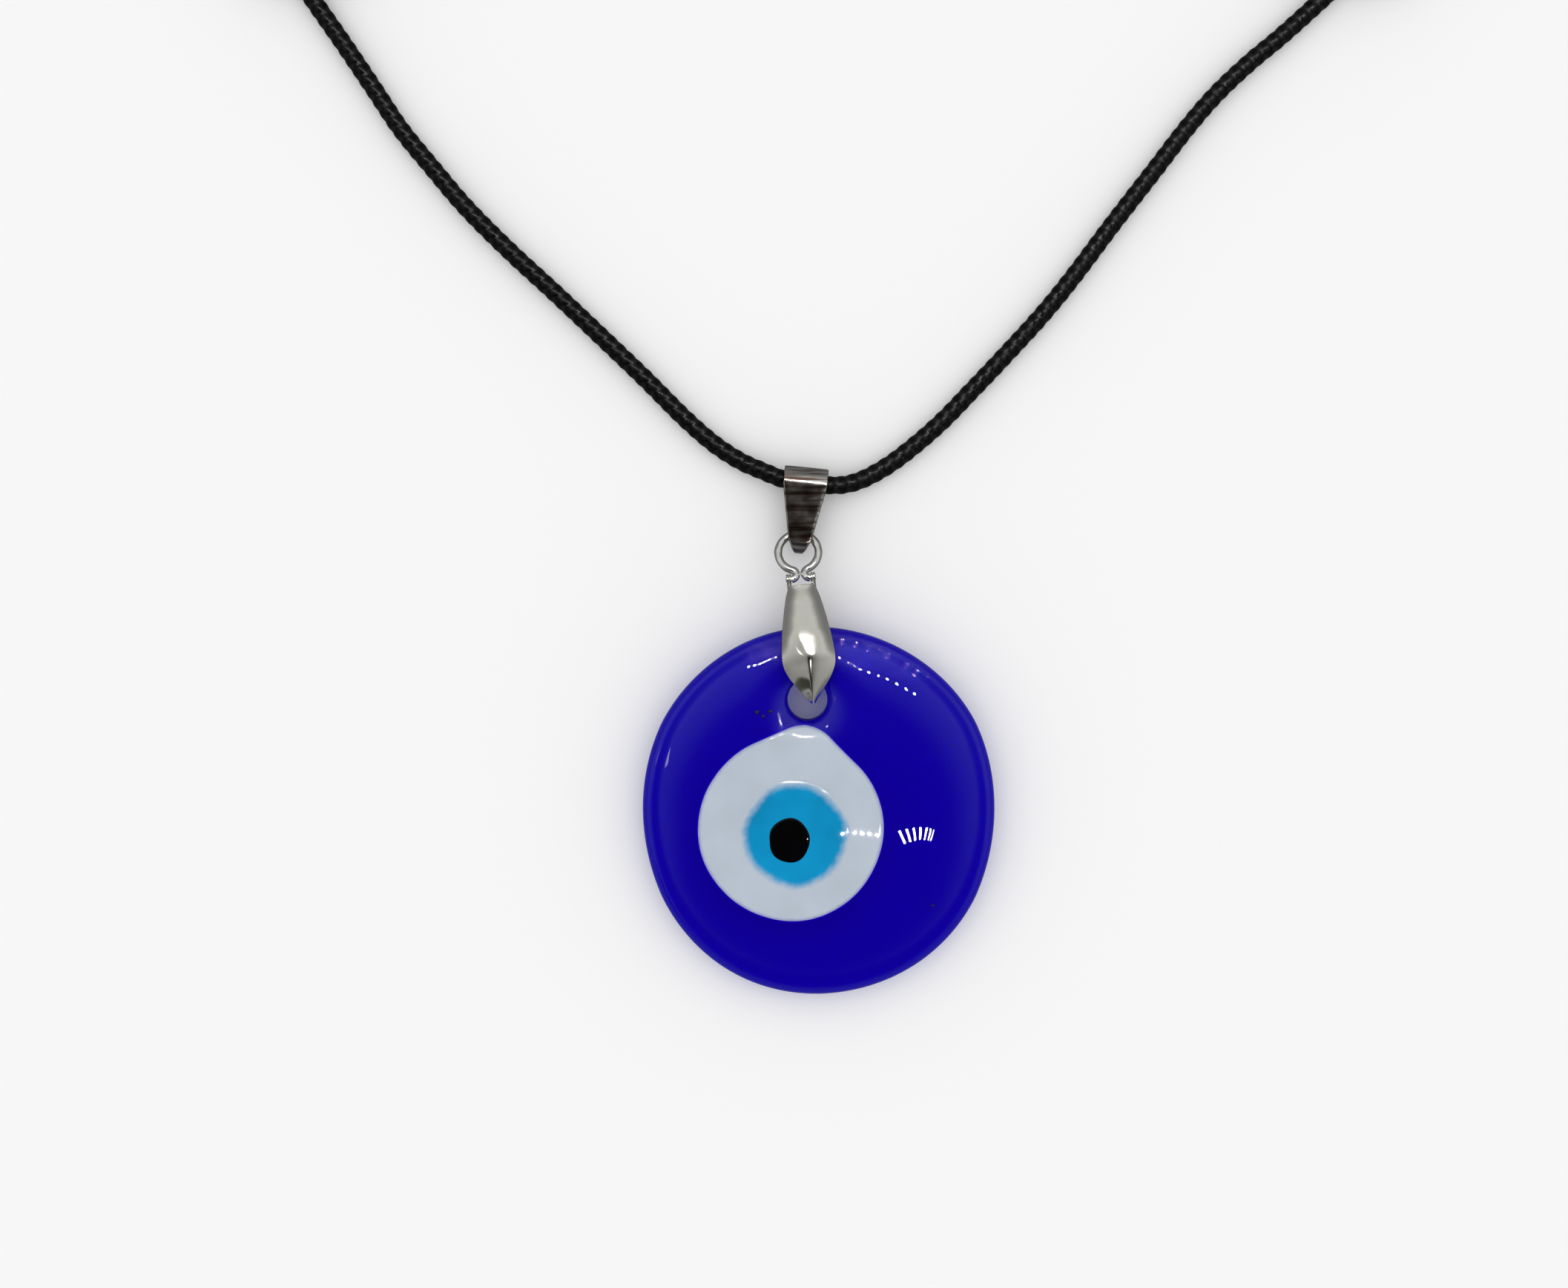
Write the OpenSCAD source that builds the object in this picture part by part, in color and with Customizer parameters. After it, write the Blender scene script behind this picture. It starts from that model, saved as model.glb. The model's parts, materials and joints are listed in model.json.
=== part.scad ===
// Evil eye pendant: a pressed glass eye held by a hinged leaf clip, a wire ring and a folded bail on a
// waxed cord with a lobster clasp. It lies on its back on a flat surface, +Y towards the cord.
// All sizes are in millimetres.

/* [Glass eye] */
// Width of the glass disc
disc_w = 40; // [30:0.5:60]
// How much taller than wide the glass disc is, because it is pressed by hand
disc_stretch = 1.8; // [0:0.1:4]
// Thickness of the disc at its middle
disc_t = 5.4; // [4.6:0.1:6.6]
// Radius of the domed front
dome_r = 120; // [90:5:300]
// Rounding of the back edge
back_round = 1.6; // [0.8:0.1:2]
// Rounding of the front edge
front_round = 2.2; // [1.2:0.1:2.6]
// Diameter of the hole for the clip's posts
hole_d = 4.7; // [4:0.1:5.6]
// Distance from the top edge of the disc to the middle of the hole
hole_drop = 8.25; // [7.4:0.05:9]
// Radius of the white spot
white_r = 10.7; // [7:0.1:12]
// Radius of the light blue spot
iris_r = 6.3; // [4:0.1:6.6]
// Half the width of the black spot
pupil_r = 2.3; // [1.5:0.1:3.4]
// How far each spot stands above the one under it
spot_rise = 0.12; // [0.05:0.01:0.25]
// Radius of the ground land on the back, below the clip
land_r = 10; // [6:0.5:12]
// How far the land stands above the rest of the back
land_rise = 0.1; // [0.05:0.01:0.12]

/* [Leaf clip] */
// Length of a leaf, from its hinge to its tip
leaf_len = 14; // [13:0.1:15.5]
// Width of a leaf at its widest
leaf_w = 5.85; // [5:0.05:7]
// How far a leaf bulges out at its widest
leaf_bulge = 1.35; // [1:0.05:1.8]
// Thickness of the sheet that the leaves are pressed from
leaf_wall = 0.35; // [0.25:0.01:0.45]
// Gap between a leaf and the glass
leaf_gap = 0.2; // [0.12:0.01:0.4]
// Diameter of the two posts that meet in the hole
post_d = 1.4; // [1:0.05:1.6]

/* [Wire ring] */
// Diameter of the ring along the middle of its wire
ring_d = 4.56; // [4.2:0.02:6]
// Diameter of the ring's wire
ring_wire = 0.88; // [0.7:0.01:1]
// Diameter of the filed feet that the leaves hinge on
foot_d = 0.6; // [0.5:0.01:0.66]
// Radial clearance round each foot
foot_gap = 0.04; // [0.02:0.01:0.06]

/* [Bail] */
// Width of the bail's strip at the cord
bail_w = 5; // [4:0.1:6]
// Length of the bail from the cord's middle to its lower fold
bail_drop = 7.8; // [7.6:0.1:9]
// Thickness of the bail's strip
bail_wall = 0.5; // [0.35:0.01:0.6]
// Gap between the cord and the bail
bail_gap = 0.5; // [0.45:0.01:0.8]

/* [Cord and clasp] */
// Diameter of the waxed cord
cord_d = 2; // [1.8:0.05:2.1]
// Outer diameter of the end caps
cap_d = 3.2; // [3:0.05:3.6]
// Length of an end cap's barrel
cap_len = 7; // [5:0.5:8]
// Outer length of the clasp's hook part
clasp_len = 8; // [7:0.1:9]
// Thickness of the clasp's body
clasp_t = 2.4; // [2.2:0.1:2.8]
// Diameter of the clasp's rivet
rivet_d = 0.7; // [0.6:0.05:0.8]
// Outer width of a chain link
link_w = 3; // [2.8:0.1:3.4]
// Diameter of the chain's wire
link_wire = 0.6; // [0.5:0.05:0.65]
// Number of links in the extender chain
link_count = 8; // [4:1:9]

/* [Hidden] */

// Glass: places are measured from the middle of the disc, in its own plane
disc_r = disc_w / 2;
disc_h = disc_w + disc_stretch;
hole_at = [-1.25, disc_h / 2 - hole_drop];
white_at = [-3.15, -1.75];
iris_at = [-2.65, -2.45];
pupil_at = [-3.3, -3];
peak_r = 4.4;
peak_at = [hole_at[0] - 0.5, hole_at[1] - hole_d / 2 - peak_r - 0.25];
white_depth = 1.8;
iris_depth = 1.2;
pupil_depth = 0.8;
pupil_stretch = 0.5;
hole_chamfer = 0.35;
land_at = [0, -disc_r / 4];
far = 50;

// Height of the domed front above the flat back, at a distance from the middle
function dome_z(d) = disc_t - dome_r + sqrt(dome_r * dome_r - d * d);
hole_t = dome_z(hole_at[1] - disc_stretch / 2);

// Clip: its hinge is at the origin of its own frame, and its tip points to -Y
glass_half = hole_t / 2;
rim_rise = glass_half + leaf_gap;
hinge_gap = 0.15;
leaf_start = 0.75;
hole_reach = leaf_len - 0.35;
post_play = 0.5;
post_y = -hole_reach + (hole_d - post_d) / 2 - post_play;
post_gap = 0.25;
ear_t = 0.25;
ear_gap = 0.04;
foot_r = foot_d / 2;
ear_r = foot_r + foot_gap + 0.24;

// Leaf sections: [part of the way to the tip, part of the half width, part of the rise over the glass,
// part of the bulge]
LEAF = [
    [0, 0.51, 0, 0.44], [0.1, 0.65, 0.25, 0.6], [0.25, 0.81, 0.66, 0.75], [0.4, 0.93, 0.96, 0.9],
    [0.6, 1, 1, 1], [0.7, 0.97, 1, 0.97], [0.79, 0.77, 1, 0.87], [0.89, 0.44, 1, 0.66],
    [1, 0.06, 1, 0.22]
];

// Ring: its feet lie along X at the origin of its own frame, and its round part rises along +Y
ring_r = ring_d / 2;
wire_r = ring_wire / 2;
turn_r = wire_r + 0.11;
neck_gap = 0.06;
wire_sides = 12;
neck_angle = asin((turn_r + wire_r + neck_gap / 2) / (ring_r + turn_r));
turn_x = (ring_r + turn_r) * sin(neck_angle);
ring_y = turn_r + (ring_r + turn_r) * cos(neck_angle);
ear_x = turn_x + 0.07;
foot_x = ear_x + 2 * ear_t + ear_gap + 0.08;

// Bail: the cord runs along X at the origin of its own frame, and its fold points to -Y
cord_r = cord_d / 2;
loop_r = cord_r + bail_gap;
fold_r = 0.9;
fold_y = bail_drop - bail_wall - fold_r;
arc_steps = 16;

// How the pieces lie: the leaf's bulge and the disc's lower edge rest on the surface
leaf_crest = rim_rise + leaf_bulge;
crest_y = leaf_start + 0.6 * (leaf_len - leaf_start);
disc_x = 2;
disc_y = -(disc_h / 2 - hole_drop) - hole_reach;
edge_y = disc_y - disc_h / 2 + back_round;
lie_angle = atan((leaf_crest - glass_half) / (-edge_y - crest_y));
hinge_z = crest_y * sin(lie_angle) + leaf_crest * cos(lie_angle);
clip_lean = 5.6;
bail_lean = -5.6;
bail_pitch = -2;
bail_top = loop_r + bail_wall;
bail_at = [-1.5, 27.7656, bail_top];

// The ring's wire lies in the bail's fold, and the ring falls from there to the clip's hinge
function turn_x_by(v, a) = [v[0], v[1] * cos(a) - v[2] * sin(a), v[1] * sin(a) + v[2] * cos(a)];
function turn_z_by(v, a) = [v[0] * cos(a) - v[1] * sin(a), v[0] * sin(a) + v[1] * cos(a), v[2]];
wire_in_fold = [-0.44, -(fold_y - 0.755), 0.112];
wire_at = bail_at + turn_z_by(turn_x_by(wire_in_fold, bail_pitch), bail_lean);
ring_reach = ring_y + ring_r;
lean_part = cos(clip_lean) * sin(lie_angle);
ring_fall = asin((wire_at[2] - hinge_z) / ring_reach / norm([lean_part, cos(lie_angle)]))
    - atan(lean_part / cos(lie_angle));
ring_vector = turn_x_by(turn_z_by(turn_x_by([0, ring_reach, 0], ring_fall), clip_lean), lie_angle);
hinge_at = [wire_at[0] - ring_vector[0], wire_at[1] - ring_vector[1], hinge_z];

// Cord: it lies on the surface, passes through the bail and is wound up at both ends
cord_sides = 8;
coil_inner = 8;
coil_turns = 2.35;
coil_left_at = [-58, 98, 0];
coil_right_at = [62, 98, 0];
coil_outer = coil_inner + coil_turns * cord_d;
fitting_z = cap_d / 2;
tail_y = coil_left_at[1] + coil_outer;
cap_left_at = [-48.5, tail_y, fitting_z];
cap_right_at = [52.5, tail_y, fitting_z];
cap_grip = 4;
cap_clear = 0.05;
run_route = [
    [-62, 89.5, 1], [-59.5, 86, 1], [-57, 82.3, 1], [-54, 78, 1], [-50.5, 72.8, 1], [-47.5, 68.3, 1],
    [-44, 64, 1], [-40, 59.3, 1], [-35, 54.3, 1], [-30, 49.7, 1], [-24.5, 44.5, 1], [-19.7, 39.9, 1],
    [-15.3, 35.5, 1], [-12, 32.6, 1], [-9, 30.6, 1.1], [-6.4, 29.4, 1.5], [-3.9, 28.4, 1.9],
    [-1.5, 28.05, 1.95], [1, 27.75, 1.9], [3.4, 27.9, 1.5], [6, 28.9, 1.1], [9.3, 31, 1], [13.7, 34.7, 1],
    [17.6, 38.7, 1], [21.3, 42.6, 1], [25.5, 47.2, 1], [29, 51.5, 1], [33.5, 57.5, 1], [38, 63.3, 1],
    [42, 68.5, 1], [45.3, 72.3, 1], [49, 75.8, 1], [52.6, 78.8, 1], [56.5, 82.3, 1], [60.5, 86, 1],
    [64.2, 89.3, 1]
];
tail_left_route = [[-58, tail_y, 1], [-55, tail_y, 1], [-52.5, tail_y, 1.15], [-50, tail_y, 1.55],
    [-48.5, tail_y, 1.6], [-48.5 + cap_grip, tail_y, 1.6]];
tail_right_route = [[62, tail_y, 1], [59, tail_y, 1], [56.5, tail_y, 1.15], [54, tail_y, 1.55],
    [52.5, tail_y, 1.6], [52.5 - cap_grip, tail_y, 1.6]];

// Clasp and chain: measured from the mouth of each end cap
eye_ring_r = 1.1;
eye_wire_r = 0.35;
eye_x = cap_len + eye_ring_r + 0.3;
jump_r = 1.9;
jump_wire_r = 0.4;
jump_x = eye_x + jump_r - 0.2;
clasp_eye_x = jump_x + jump_r + 0.2;
hook_r = clasp_len / 2 - 0.8;
hook_wall = 1.2;
hook_x = clasp_eye_x + 1.6 + hook_r;
slot_t = 1;
lever_t = 0.55;
lever_z = -slot_t / 2 + 0.05;
spring_t = 0.3;
rivet_clear = 0.04;
pivot = [hook_x - hook_r + 0.5, -hook_r + 0.55];
lever_reach = hook_r / 3.2;
link_r = (link_w - link_wire) / 2;
link_straight = 1.4;
link_wire_r = link_wire / 2;
link_pitch = link_straight + 2 * link_r - link_wire - 0.15;
chain_x = eye_x - 0.15 + link_r + link_straight / 2;
drop_r = 1.5;
drop_x = chain_x + (link_count - 1) * link_pitch + link_r + link_straight / 2 + 1.1;

// Placing of the parts that share a frame
module in_pendant() {
    translate(hinge_at) rotate([lie_angle, 0, 0]) children();
}

module in_clip() {
    in_pendant() rotate([0, 0, clip_lean]) children();
}

module in_disc() {
    in_pendant() translate([disc_x, disc_y, -glass_half]) children();
}

module in_ring() {
    in_clip() rotate([ring_fall, 0, 0]) children();
}

module in_bail() {
    translate(bail_at) rotate([0, 0, bail_lean]) rotate([bail_pitch, 0, 0]) children();
}

module at_left_cap() {
    translate(cap_left_at) children();
}

module at_right_cap() {
    translate(cap_right_at) rotate([0, 0, 180]) children();
}

// A tube with flat ends, swept along a route
function unit(v) = v / norm(v);
function heading(route, i) =
    i == 0 ? unit(route[1] - route[0]) :
    i == len(route) - 1 ? unit(route[i] - route[i - 1]) :
    unit(unit(route[i + 1] - route[i]) + unit(route[i] - route[i - 1]));
function side_of(h) = unit(cross([0, 0, 1], h));
function tube_ring(p, h, r, sides) = [
    for (k = [0:sides - 1])
        let (a = 360 * (k + 0.5) / sides, s = side_of(h), u = cross(h, s))
            p + r * (cos(a) * s + sin(a) * u)
];

module tube(route, r, sides) {
    points = [for (i = [0:len(route) - 1]) each tube_ring(route[i], heading(route, i), r, sides)];
    last = (len(route) - 1) * sides;
    walls = [
        for (i = [0:len(route) - 2], k = [0:sides - 1])
            let (n = (k + 1) % sides, low = i * sides, high = low + sides)
                each [[low + k, high + k, high + n], [low + k, high + n, low + n]]
    ];
    first_face = [for (k = [0:sides - 1]) k];
    last_face = [for (k = [sides - 1:-1:0]) last + k];
    polyhedron(points, concat([first_face], walls, [last_face]), convexity = 10);
}

// Points on an arc, by radius, centre and angles
function arc(r, c, a0, a1, n) = [
    for (i = [0:n]) let (a = a0 + (a1 - a0) * i / n) [c[0] + r * cos(a), c[1] + r * sin(a)]
];

// The disc: half a turn of the profile at each end, with a straight stretch between them
module disc_profile(rise) {
    front_low = dome_z(disc_r - front_round) - front_round + rise;
    intersection() {
        polygon(concat(
            [[0, 0]],
            arc(back_round, [disc_r - back_round, back_round], -90, 0, 6),
            arc(front_round, [disc_r - front_round, front_low], 0, 90, 8),
            [[0, front_low + front_round + far]]
        ));
        translate([0, disc_t + rise - dome_r]) circle(r = dome_r, $fn = 240);
    }
}

module disc_solid(rise) {
    for (side = [0, 1])
        rotate([0, 0, 180 * side]) translate([0, disc_stretch / 2, 0])
            rotate_extrude(angle = 180, $fn = 96) disc_profile(rise);
    for (side = [0, 1])
        rotate([0, 0, 180 * side]) rotate([90, 0, 0])
            linear_extrude(height = disc_stretch, center = true) disc_profile(rise);
}

module hole_cut() {
    translate([hole_at[0], hole_at[1], 0]) {
        translate([0, 0, -1]) cylinder(d = hole_d, h = disc_t + 2, $fn = 48);
        translate([0, 0, hole_t - hole_chamfer])
            cylinder(d1 = hole_d, d2 = hole_d + 4 * hole_chamfer, h = 2 * hole_chamfer, $fn = 48);
        translate([0, 0, -hole_chamfer])
            cylinder(d1 = hole_d + 4 * hole_chamfer, d2 = hole_d, h = 2 * hole_chamfer, $fn = 48);
    }
}

// The spots: each is a column from its own floor upwards, cut to the dome by the piece that uses it
module white_column() {
    translate([0, 0, disc_t - white_depth]) linear_extrude(height = far) hull() {
        translate(white_at) circle(r = white_r, $fn = 72);
        translate(peak_at) circle(r = peak_r, $fn = 24);
    }
}

module iris_column() {
    translate([iris_at[0], iris_at[1], disc_t - iris_depth]) cylinder(r = iris_r, h = far, $fn = 72);
}

module pupil_column() {
    translate([0, 0, disc_t - pupil_depth]) linear_extrude(height = far) hull() {
        for (side = [-1, 1])
            translate([pupil_at[0], pupil_at[1] + side * pupil_stretch / 2])
                circle(r = pupil_r, $fn = 32);
    }
}

module glass_disc() {
    color([0.03, 0.02, 0.6]) in_disc() difference() {
        union() {
            disc_solid(0);
            translate([land_at[0], land_at[1], -land_rise])
                cylinder(r = land_r, h = disc_t / 2, $fn = 72);
        }
        white_column();
        hole_cut();
    }
}

module white_glass() {
    color([0.8, 0.85, 0.9]) in_disc() difference() {
        intersection() {
            disc_solid(spot_rise);
            white_column();
        }
        iris_column();
        hole_cut();
    }
}

module iris_glass() {
    color([0.06, 0.57, 0.8]) in_disc() difference() {
        intersection() {
            disc_solid(2 * spot_rise);
            iris_column();
        }
        pupil_column();
    }
}

module pupil_glass() {
    color([0.01, 0.01, 0.01]) in_disc() intersection() {
        disc_solid(3 * spot_rise);
        pupil_column();
    }
}

// A leaf: a pressed seed-shaped shell, open towards the glass
function leaf_line(w, z, h) = [
    [-w, z], [-w, z + 0.25 * h], [-0.55 * w, z + 0.8 * h], [0, z + h],
    [0.55 * w, z + 0.8 * h], [w, z + 0.25 * h], [w, z]
];
function leaf_section(row) =
    let (
        y = -(leaf_start + row[0] * (leaf_len - leaf_start)),
        w = row[1] * leaf_w / 2,
        z = hinge_gap + row[2] * (rim_rise - hinge_gap),
        h = row[3] * leaf_bulge,
        w_in = max(w - leaf_wall, 0.3 * w),
        h_in = max(h - leaf_wall, 0.3 * h),
        outer = leaf_line(w, z, h),
        inner = leaf_line(w_in, z, h_in)
    )
    [for (p = concat(outer, [for (i = [6:-1:0]) inner[i]])) [p[0], y, p[1]]];

module leaf_shell() {
    n = 14;
    points = [for (row = LEAF) each leaf_section(row)];
    last = (len(LEAF) - 1) * n;
    walls = [
        for (i = [0:len(LEAF) - 2], k = [0:n - 1])
            let (m = (k + 1) % n, low = i * n, high = low + n)
                each [[low + k, high + m, high + k], [low + k, low + m, high + m]]
    ];
    caps = [
        for (k = [0:5])
            each [
                [k, k + 1, 12 - k], [k, 12 - k, 13 - k],
                [last + k, last + 12 - k, last + k + 1], [last + k, last + 13 - k, last + 12 - k]
            ]
    ];
    polyhedron(points, concat(walls, caps), convexity = 6);
}

module leaf(ear_from, ear_top) {
    difference() {
        union() {
            leaf_shell();
            for (side = [0, 1])
                mirror([side, 0, 0]) translate([ear_from, 0, 0]) rotate([90, 0, 90])
                    linear_extrude(height = ear_t) {
                        circle(r = ear_r, $fn = 32);
                        polygon([[0, -0.2], [0, 0.5], [-2.2, ear_top], [-2.2, ear_top - 0.4]]);
                    }
        }
        rotate([0, 90, 0]) cylinder(r = foot_r + foot_gap, h = 6, center = true, $fn = 32);
    }
}

module post() {
    crest = rim_rise + 0.66 * leaf_bulge - leaf_wall;
    translate([0, post_y, post_gap]) cylinder(d = post_d, h = crest - post_gap - 0.05, $fn = 32);
}

module clip_front_leaf() {
    color([0.78, 0.78, 0.75]) in_clip() leaf(ear_x, 0.95);
}

module clip_front_post() {
    color([0.7, 0.7, 0.68]) in_clip() post();
}

module clip_back_leaf() {
    color([0.78, 0.78, 0.75]) in_clip() mirror([0, 0, 1]) leaf(ear_x + ear_t + ear_gap, 0.95);
}

module clip_back_post() {
    color([0.7, 0.7, 0.68]) in_clip() mirror([0, 0, 1]) post();
}

// The ring: a round of wire whose ends turn outwards into two filed feet
module hanger_ring() {
    right_turn = arc(turn_r, [turn_x, turn_r], 270, 90 + neck_angle, 7);
    left_turn = [for (i = [7:-1:0]) [-right_turn[i][0], right_turn[i][1]]];
    round_part = arc(ring_r, [0, ring_y], neck_angle - 90, 270 - neck_angle, 36);
    route = concat(
        right_turn, [for (i = [1:len(round_part) - 2]) round_part[i]], left_turn
    );
    color([0.8, 0.8, 0.8]) in_ring() {
        tube([for (p = route) [p[0], p[1], 0]], wire_r, wire_sides);
        for (side = [0, 1])
            mirror([side, 0, 0]) translate([turn_x - 0.12, 0, 0]) rotate([0, 90, 0])
                cylinder(r = foot_r, h = foot_x - turn_x + 0.12, $fn = 32);
    }
}

// The bail: a strip folded into a drop-shaped loop that tapers towards its fold
function drop_outline(top_r, low_r) =
    let (tip = asin((top_r - low_r) / fold_y))
    concat(
        arc(top_r, [0, 0], -tip, 180 + tip, arc_steps),
        arc(low_r, [0, -fold_y], 180 + tip, 360 - tip, arc_steps)
    );

module bail() {
    half = bail_w / 2;
    color([0.6, 0.6, 0.58]) in_bail() intersection() {
        rotate([90, 0, 90]) linear_extrude(height = 2 * bail_w, center = true) rotate(-90)
            difference() {
                polygon(drop_outline(bail_top, fold_r + bail_wall));
                polygon(drop_outline(loop_r, fold_r));
            }
        linear_extrude(height = far, center = true)
            polygon([
                [-half, bail_top + 1], [half, bail_top + 1], [half, 0], [0.5 * half, -0.8 * bail_drop],
                [0.3 * half, -0.92 * bail_drop], [0, -bail_drop - 0.2],
                [-0.3 * half, -0.92 * bail_drop], [-0.5 * half, -0.8 * bail_drop], [-half, 0]
            ]);
    }
}

module cord_run() {
    color([0.03, 0.03, 0.03]) tube(run_route, cord_r, cord_sides);
}

module coil(at) {
    color([0.03, 0.03, 0.03]) translate(at) rotate_extrude($fn = 64)
        translate([coil_inner - cord_r, 0])
            square([coil_outer - coil_inner + cord_d, cord_d]);
}

module cord_coil_left() {
    coil(coil_left_at);
}

module cord_coil_right() {
    coil(coil_right_at);
}

module cord_tail_left() {
    color([0.03, 0.03, 0.03]) tube(tail_left_route, cord_r, cord_sides);
}

module cord_tail_right() {
    color([0.03, 0.03, 0.03]) tube(tail_right_route, cord_r, cord_sides);
}

// An end cap: a barrel glued on the cord, with an eye on its closed end
module end_cap() {
    color([0.7, 0.7, 0.7]) {
        difference() {
            rotate([0, 90, 0]) cylinder(d = cap_d, h = cap_len, $fn = 48);
            translate([-1, 0, 0]) rotate([0, 90, 0])
                cylinder(r = cord_r + cap_clear, h = cap_grip + 1, $fn = 48);
        }
        translate([eye_x, 0, 0]) rotate([90, 0, 0]) rotate_extrude($fn = 48)
            translate([eye_ring_r, 0]) circle(r = eye_wire_r, $fn = 24);
    }
}

module end_cap_left() {
    at_left_cap() end_cap();
}

module end_cap_right() {
    at_right_cap() end_cap();
}

module clasp_ring() {
    color([0.75, 0.75, 0.75]) at_left_cap() translate([jump_x, 0, 0]) rotate_extrude($fn = 64)
        translate([jump_r, 0]) circle(r = jump_wire_r, $fn = 24);
}

// The clasp: a hook with a slot for its sprung lever
module hook_outline() {
    difference() {
        translate([hook_x, 0]) circle(r = hook_r, $fn = 64);
        translate([hook_x, 0]) circle(r = hook_r - hook_wall, $fn = 48);
        translate([hook_x - 0.6, -hook_r - 1]) square([hook_r + 0.6, hook_r + 0.6]);
    }
    translate([hook_x - hook_r - 0.4, -1.2]) square([1.5, 2.4]);
    translate(pivot) circle(r = 0.9, $fn = 32);
}

module clasp_body() {
    color([0.75, 0.75, 0.75]) at_left_cap() {
        difference() {
            translate([0, 0, -clasp_t / 2]) linear_extrude(height = clasp_t) hook_outline();
            translate([pivot[0], pivot[1], -slot_t / 2]) linear_extrude(height = slot_t)
                polygon(lever_reach * [
                    [-2.5, -2.5], [7, -2.5], [7, 2.6], [4.6, 2.6], [1.5, 2.2], [-0.6, 1.45]
                ]);
            translate([pivot[0], pivot[1], -clasp_t])
                cylinder(r = rivet_d / 2, h = 2 * clasp_t, $fn = 32);
        }
        translate([clasp_eye_x, 0, 0]) rotate([90, 0, 0]) rotate_extrude($fn = 48)
            translate([eye_ring_r, 0]) circle(r = eye_wire_r, $fn = 24);
    }
}

module clasp_lever() {
    color([0.72, 0.72, 0.72]) at_left_cap() translate([pivot[0], pivot[1], lever_z]) difference() {
        linear_extrude(height = lever_t) {
            circle(r = 0.75, $fn = 32);
            polygon(lever_reach * [
                [-0.3, 0.6], [0.4, -0.6], [3.2, 0.75], [4.75, 1.75], [4.5, 2.35], [4.2, 2.3], [2.6, 1.35]
            ]);
            polygon(lever_reach * [[-0.7, -1.7], [0.1, -1.7], [0.5, -0.3], [-0.6, -0.1]]);
        }
        translate([0, 0, -1]) cylinder(r = rivet_d / 2 + rivet_clear, h = lever_t + 2, $fn = 32);
    }
}

module clasp_rivet() {
    color([0.65, 0.65, 0.65]) at_left_cap() translate([pivot[0], pivot[1], -clasp_t / 2 - 0.1])
        cylinder(r = rivet_d / 2, h = clasp_t + 0.2, $fn = 32);
}

module clasp_spring() {
    color([0.6, 0.6, 0.6]) at_left_cap() translate([pivot[0], pivot[1], lever_z + lever_t + 0.05])
        rotate_extrude($fn = 48) translate([rivet_d / 2 + 0.05, 0]) square([0.25, spring_t]);
}

// The extender: oval links laid alternately to the left and the right, and a round drop
module chain_link() {
    for (side = [0, 1])
        mirror([side, 0, 0]) {
            translate([link_straight / 2, 0, 0]) rotate([0, 0, -90])
                rotate_extrude(angle = 180, $fn = 48) translate([link_r, 0])
                    circle(r = link_wire_r, $fn = 24);
        }
    for (side = [-1, 1])
        translate([0, side * link_r, 0]) rotate([0, 90, 0])
            cylinder(r = link_wire_r, h = link_straight, center = true, $fn = 24);
}

module extender_chain() {
    color([0.75, 0.75, 0.75]) at_right_cap()
        for (i = [0:link_count - 1])
            translate([chain_x + i * link_pitch, 0, 0])
                rotate([i % 2 == 0 ? 45 : -45, 0, 0]) chain_link();
}

module extender_drop() {
    color([0.75, 0.75, 0.75]) at_right_cap() translate([drop_x, 0, 0]) {
        sphere(r = drop_r, $fn = 48);
    }
}

glass_disc();
white_glass();
iris_glass();
pupil_glass();
clip_front_leaf();
clip_front_post();
clip_back_leaf();
clip_back_post();
hanger_ring();
bail();
cord_run();
cord_coil_left();
cord_coil_right();
cord_tail_left();
cord_tail_right();
end_cap_left();
end_cap_right();
clasp_ring();
clasp_body();
clasp_lever();
clasp_rivet();
clasp_spring();
extender_chain();
extender_drop();
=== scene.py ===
# %% [markdown]
# # An evil eye pendant on a waxed cord
# This lesson dresses a finished mechanical model. The frame that is loaded here already holds every part at
# its true size and place, with its hinges. Blender adds the looks: real glass, plated metal and braided cord.
# Everything is in metres, and the pendant lies on its back on a pale table, with +Y towards the cord.

# %% Load the frame
import bpy
import bmesh
import json
from math import asin, ceil, copysign, cos, degrees, floor, hypot, pi, radians, sin, sqrt, tau
import random
from mathutils import Matrix, Vector


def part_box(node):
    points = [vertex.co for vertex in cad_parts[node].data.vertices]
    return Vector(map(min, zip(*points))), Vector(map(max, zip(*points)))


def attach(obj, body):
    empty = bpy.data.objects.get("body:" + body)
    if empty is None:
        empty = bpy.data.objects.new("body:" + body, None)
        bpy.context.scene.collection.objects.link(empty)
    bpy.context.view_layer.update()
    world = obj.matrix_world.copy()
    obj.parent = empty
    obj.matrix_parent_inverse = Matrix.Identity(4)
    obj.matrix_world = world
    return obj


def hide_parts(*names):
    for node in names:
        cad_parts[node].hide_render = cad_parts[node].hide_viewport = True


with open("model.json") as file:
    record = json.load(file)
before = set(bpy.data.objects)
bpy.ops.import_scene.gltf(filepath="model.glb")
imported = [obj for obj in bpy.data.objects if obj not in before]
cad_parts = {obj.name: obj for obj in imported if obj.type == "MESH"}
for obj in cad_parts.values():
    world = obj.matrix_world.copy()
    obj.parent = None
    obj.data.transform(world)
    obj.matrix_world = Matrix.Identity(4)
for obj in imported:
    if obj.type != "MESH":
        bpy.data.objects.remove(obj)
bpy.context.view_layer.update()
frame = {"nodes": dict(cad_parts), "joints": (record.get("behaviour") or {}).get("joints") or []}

MM = 0.001
UP = Vector((0, 0, 1))
scene = bpy.context.scene
joints = {joint["name"]: joint for joint in frame["joints"]}

# %% [markdown]
# ## Where the parts stand
# A hinge tells where a part is and which way it faces, so each part gets its own small coordinate frame from
# the hinges. Inside such a frame a part can be drawn straight and level, and one matrix puts it in its place.

# %% Frames of the clip, the disc, the ring and the bail
def joint_point(name):
    return Vector(joints[name]["pos_m"])


def joint_axis(name):
    return Vector(joints[name]["axis"]).normalized()


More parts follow.
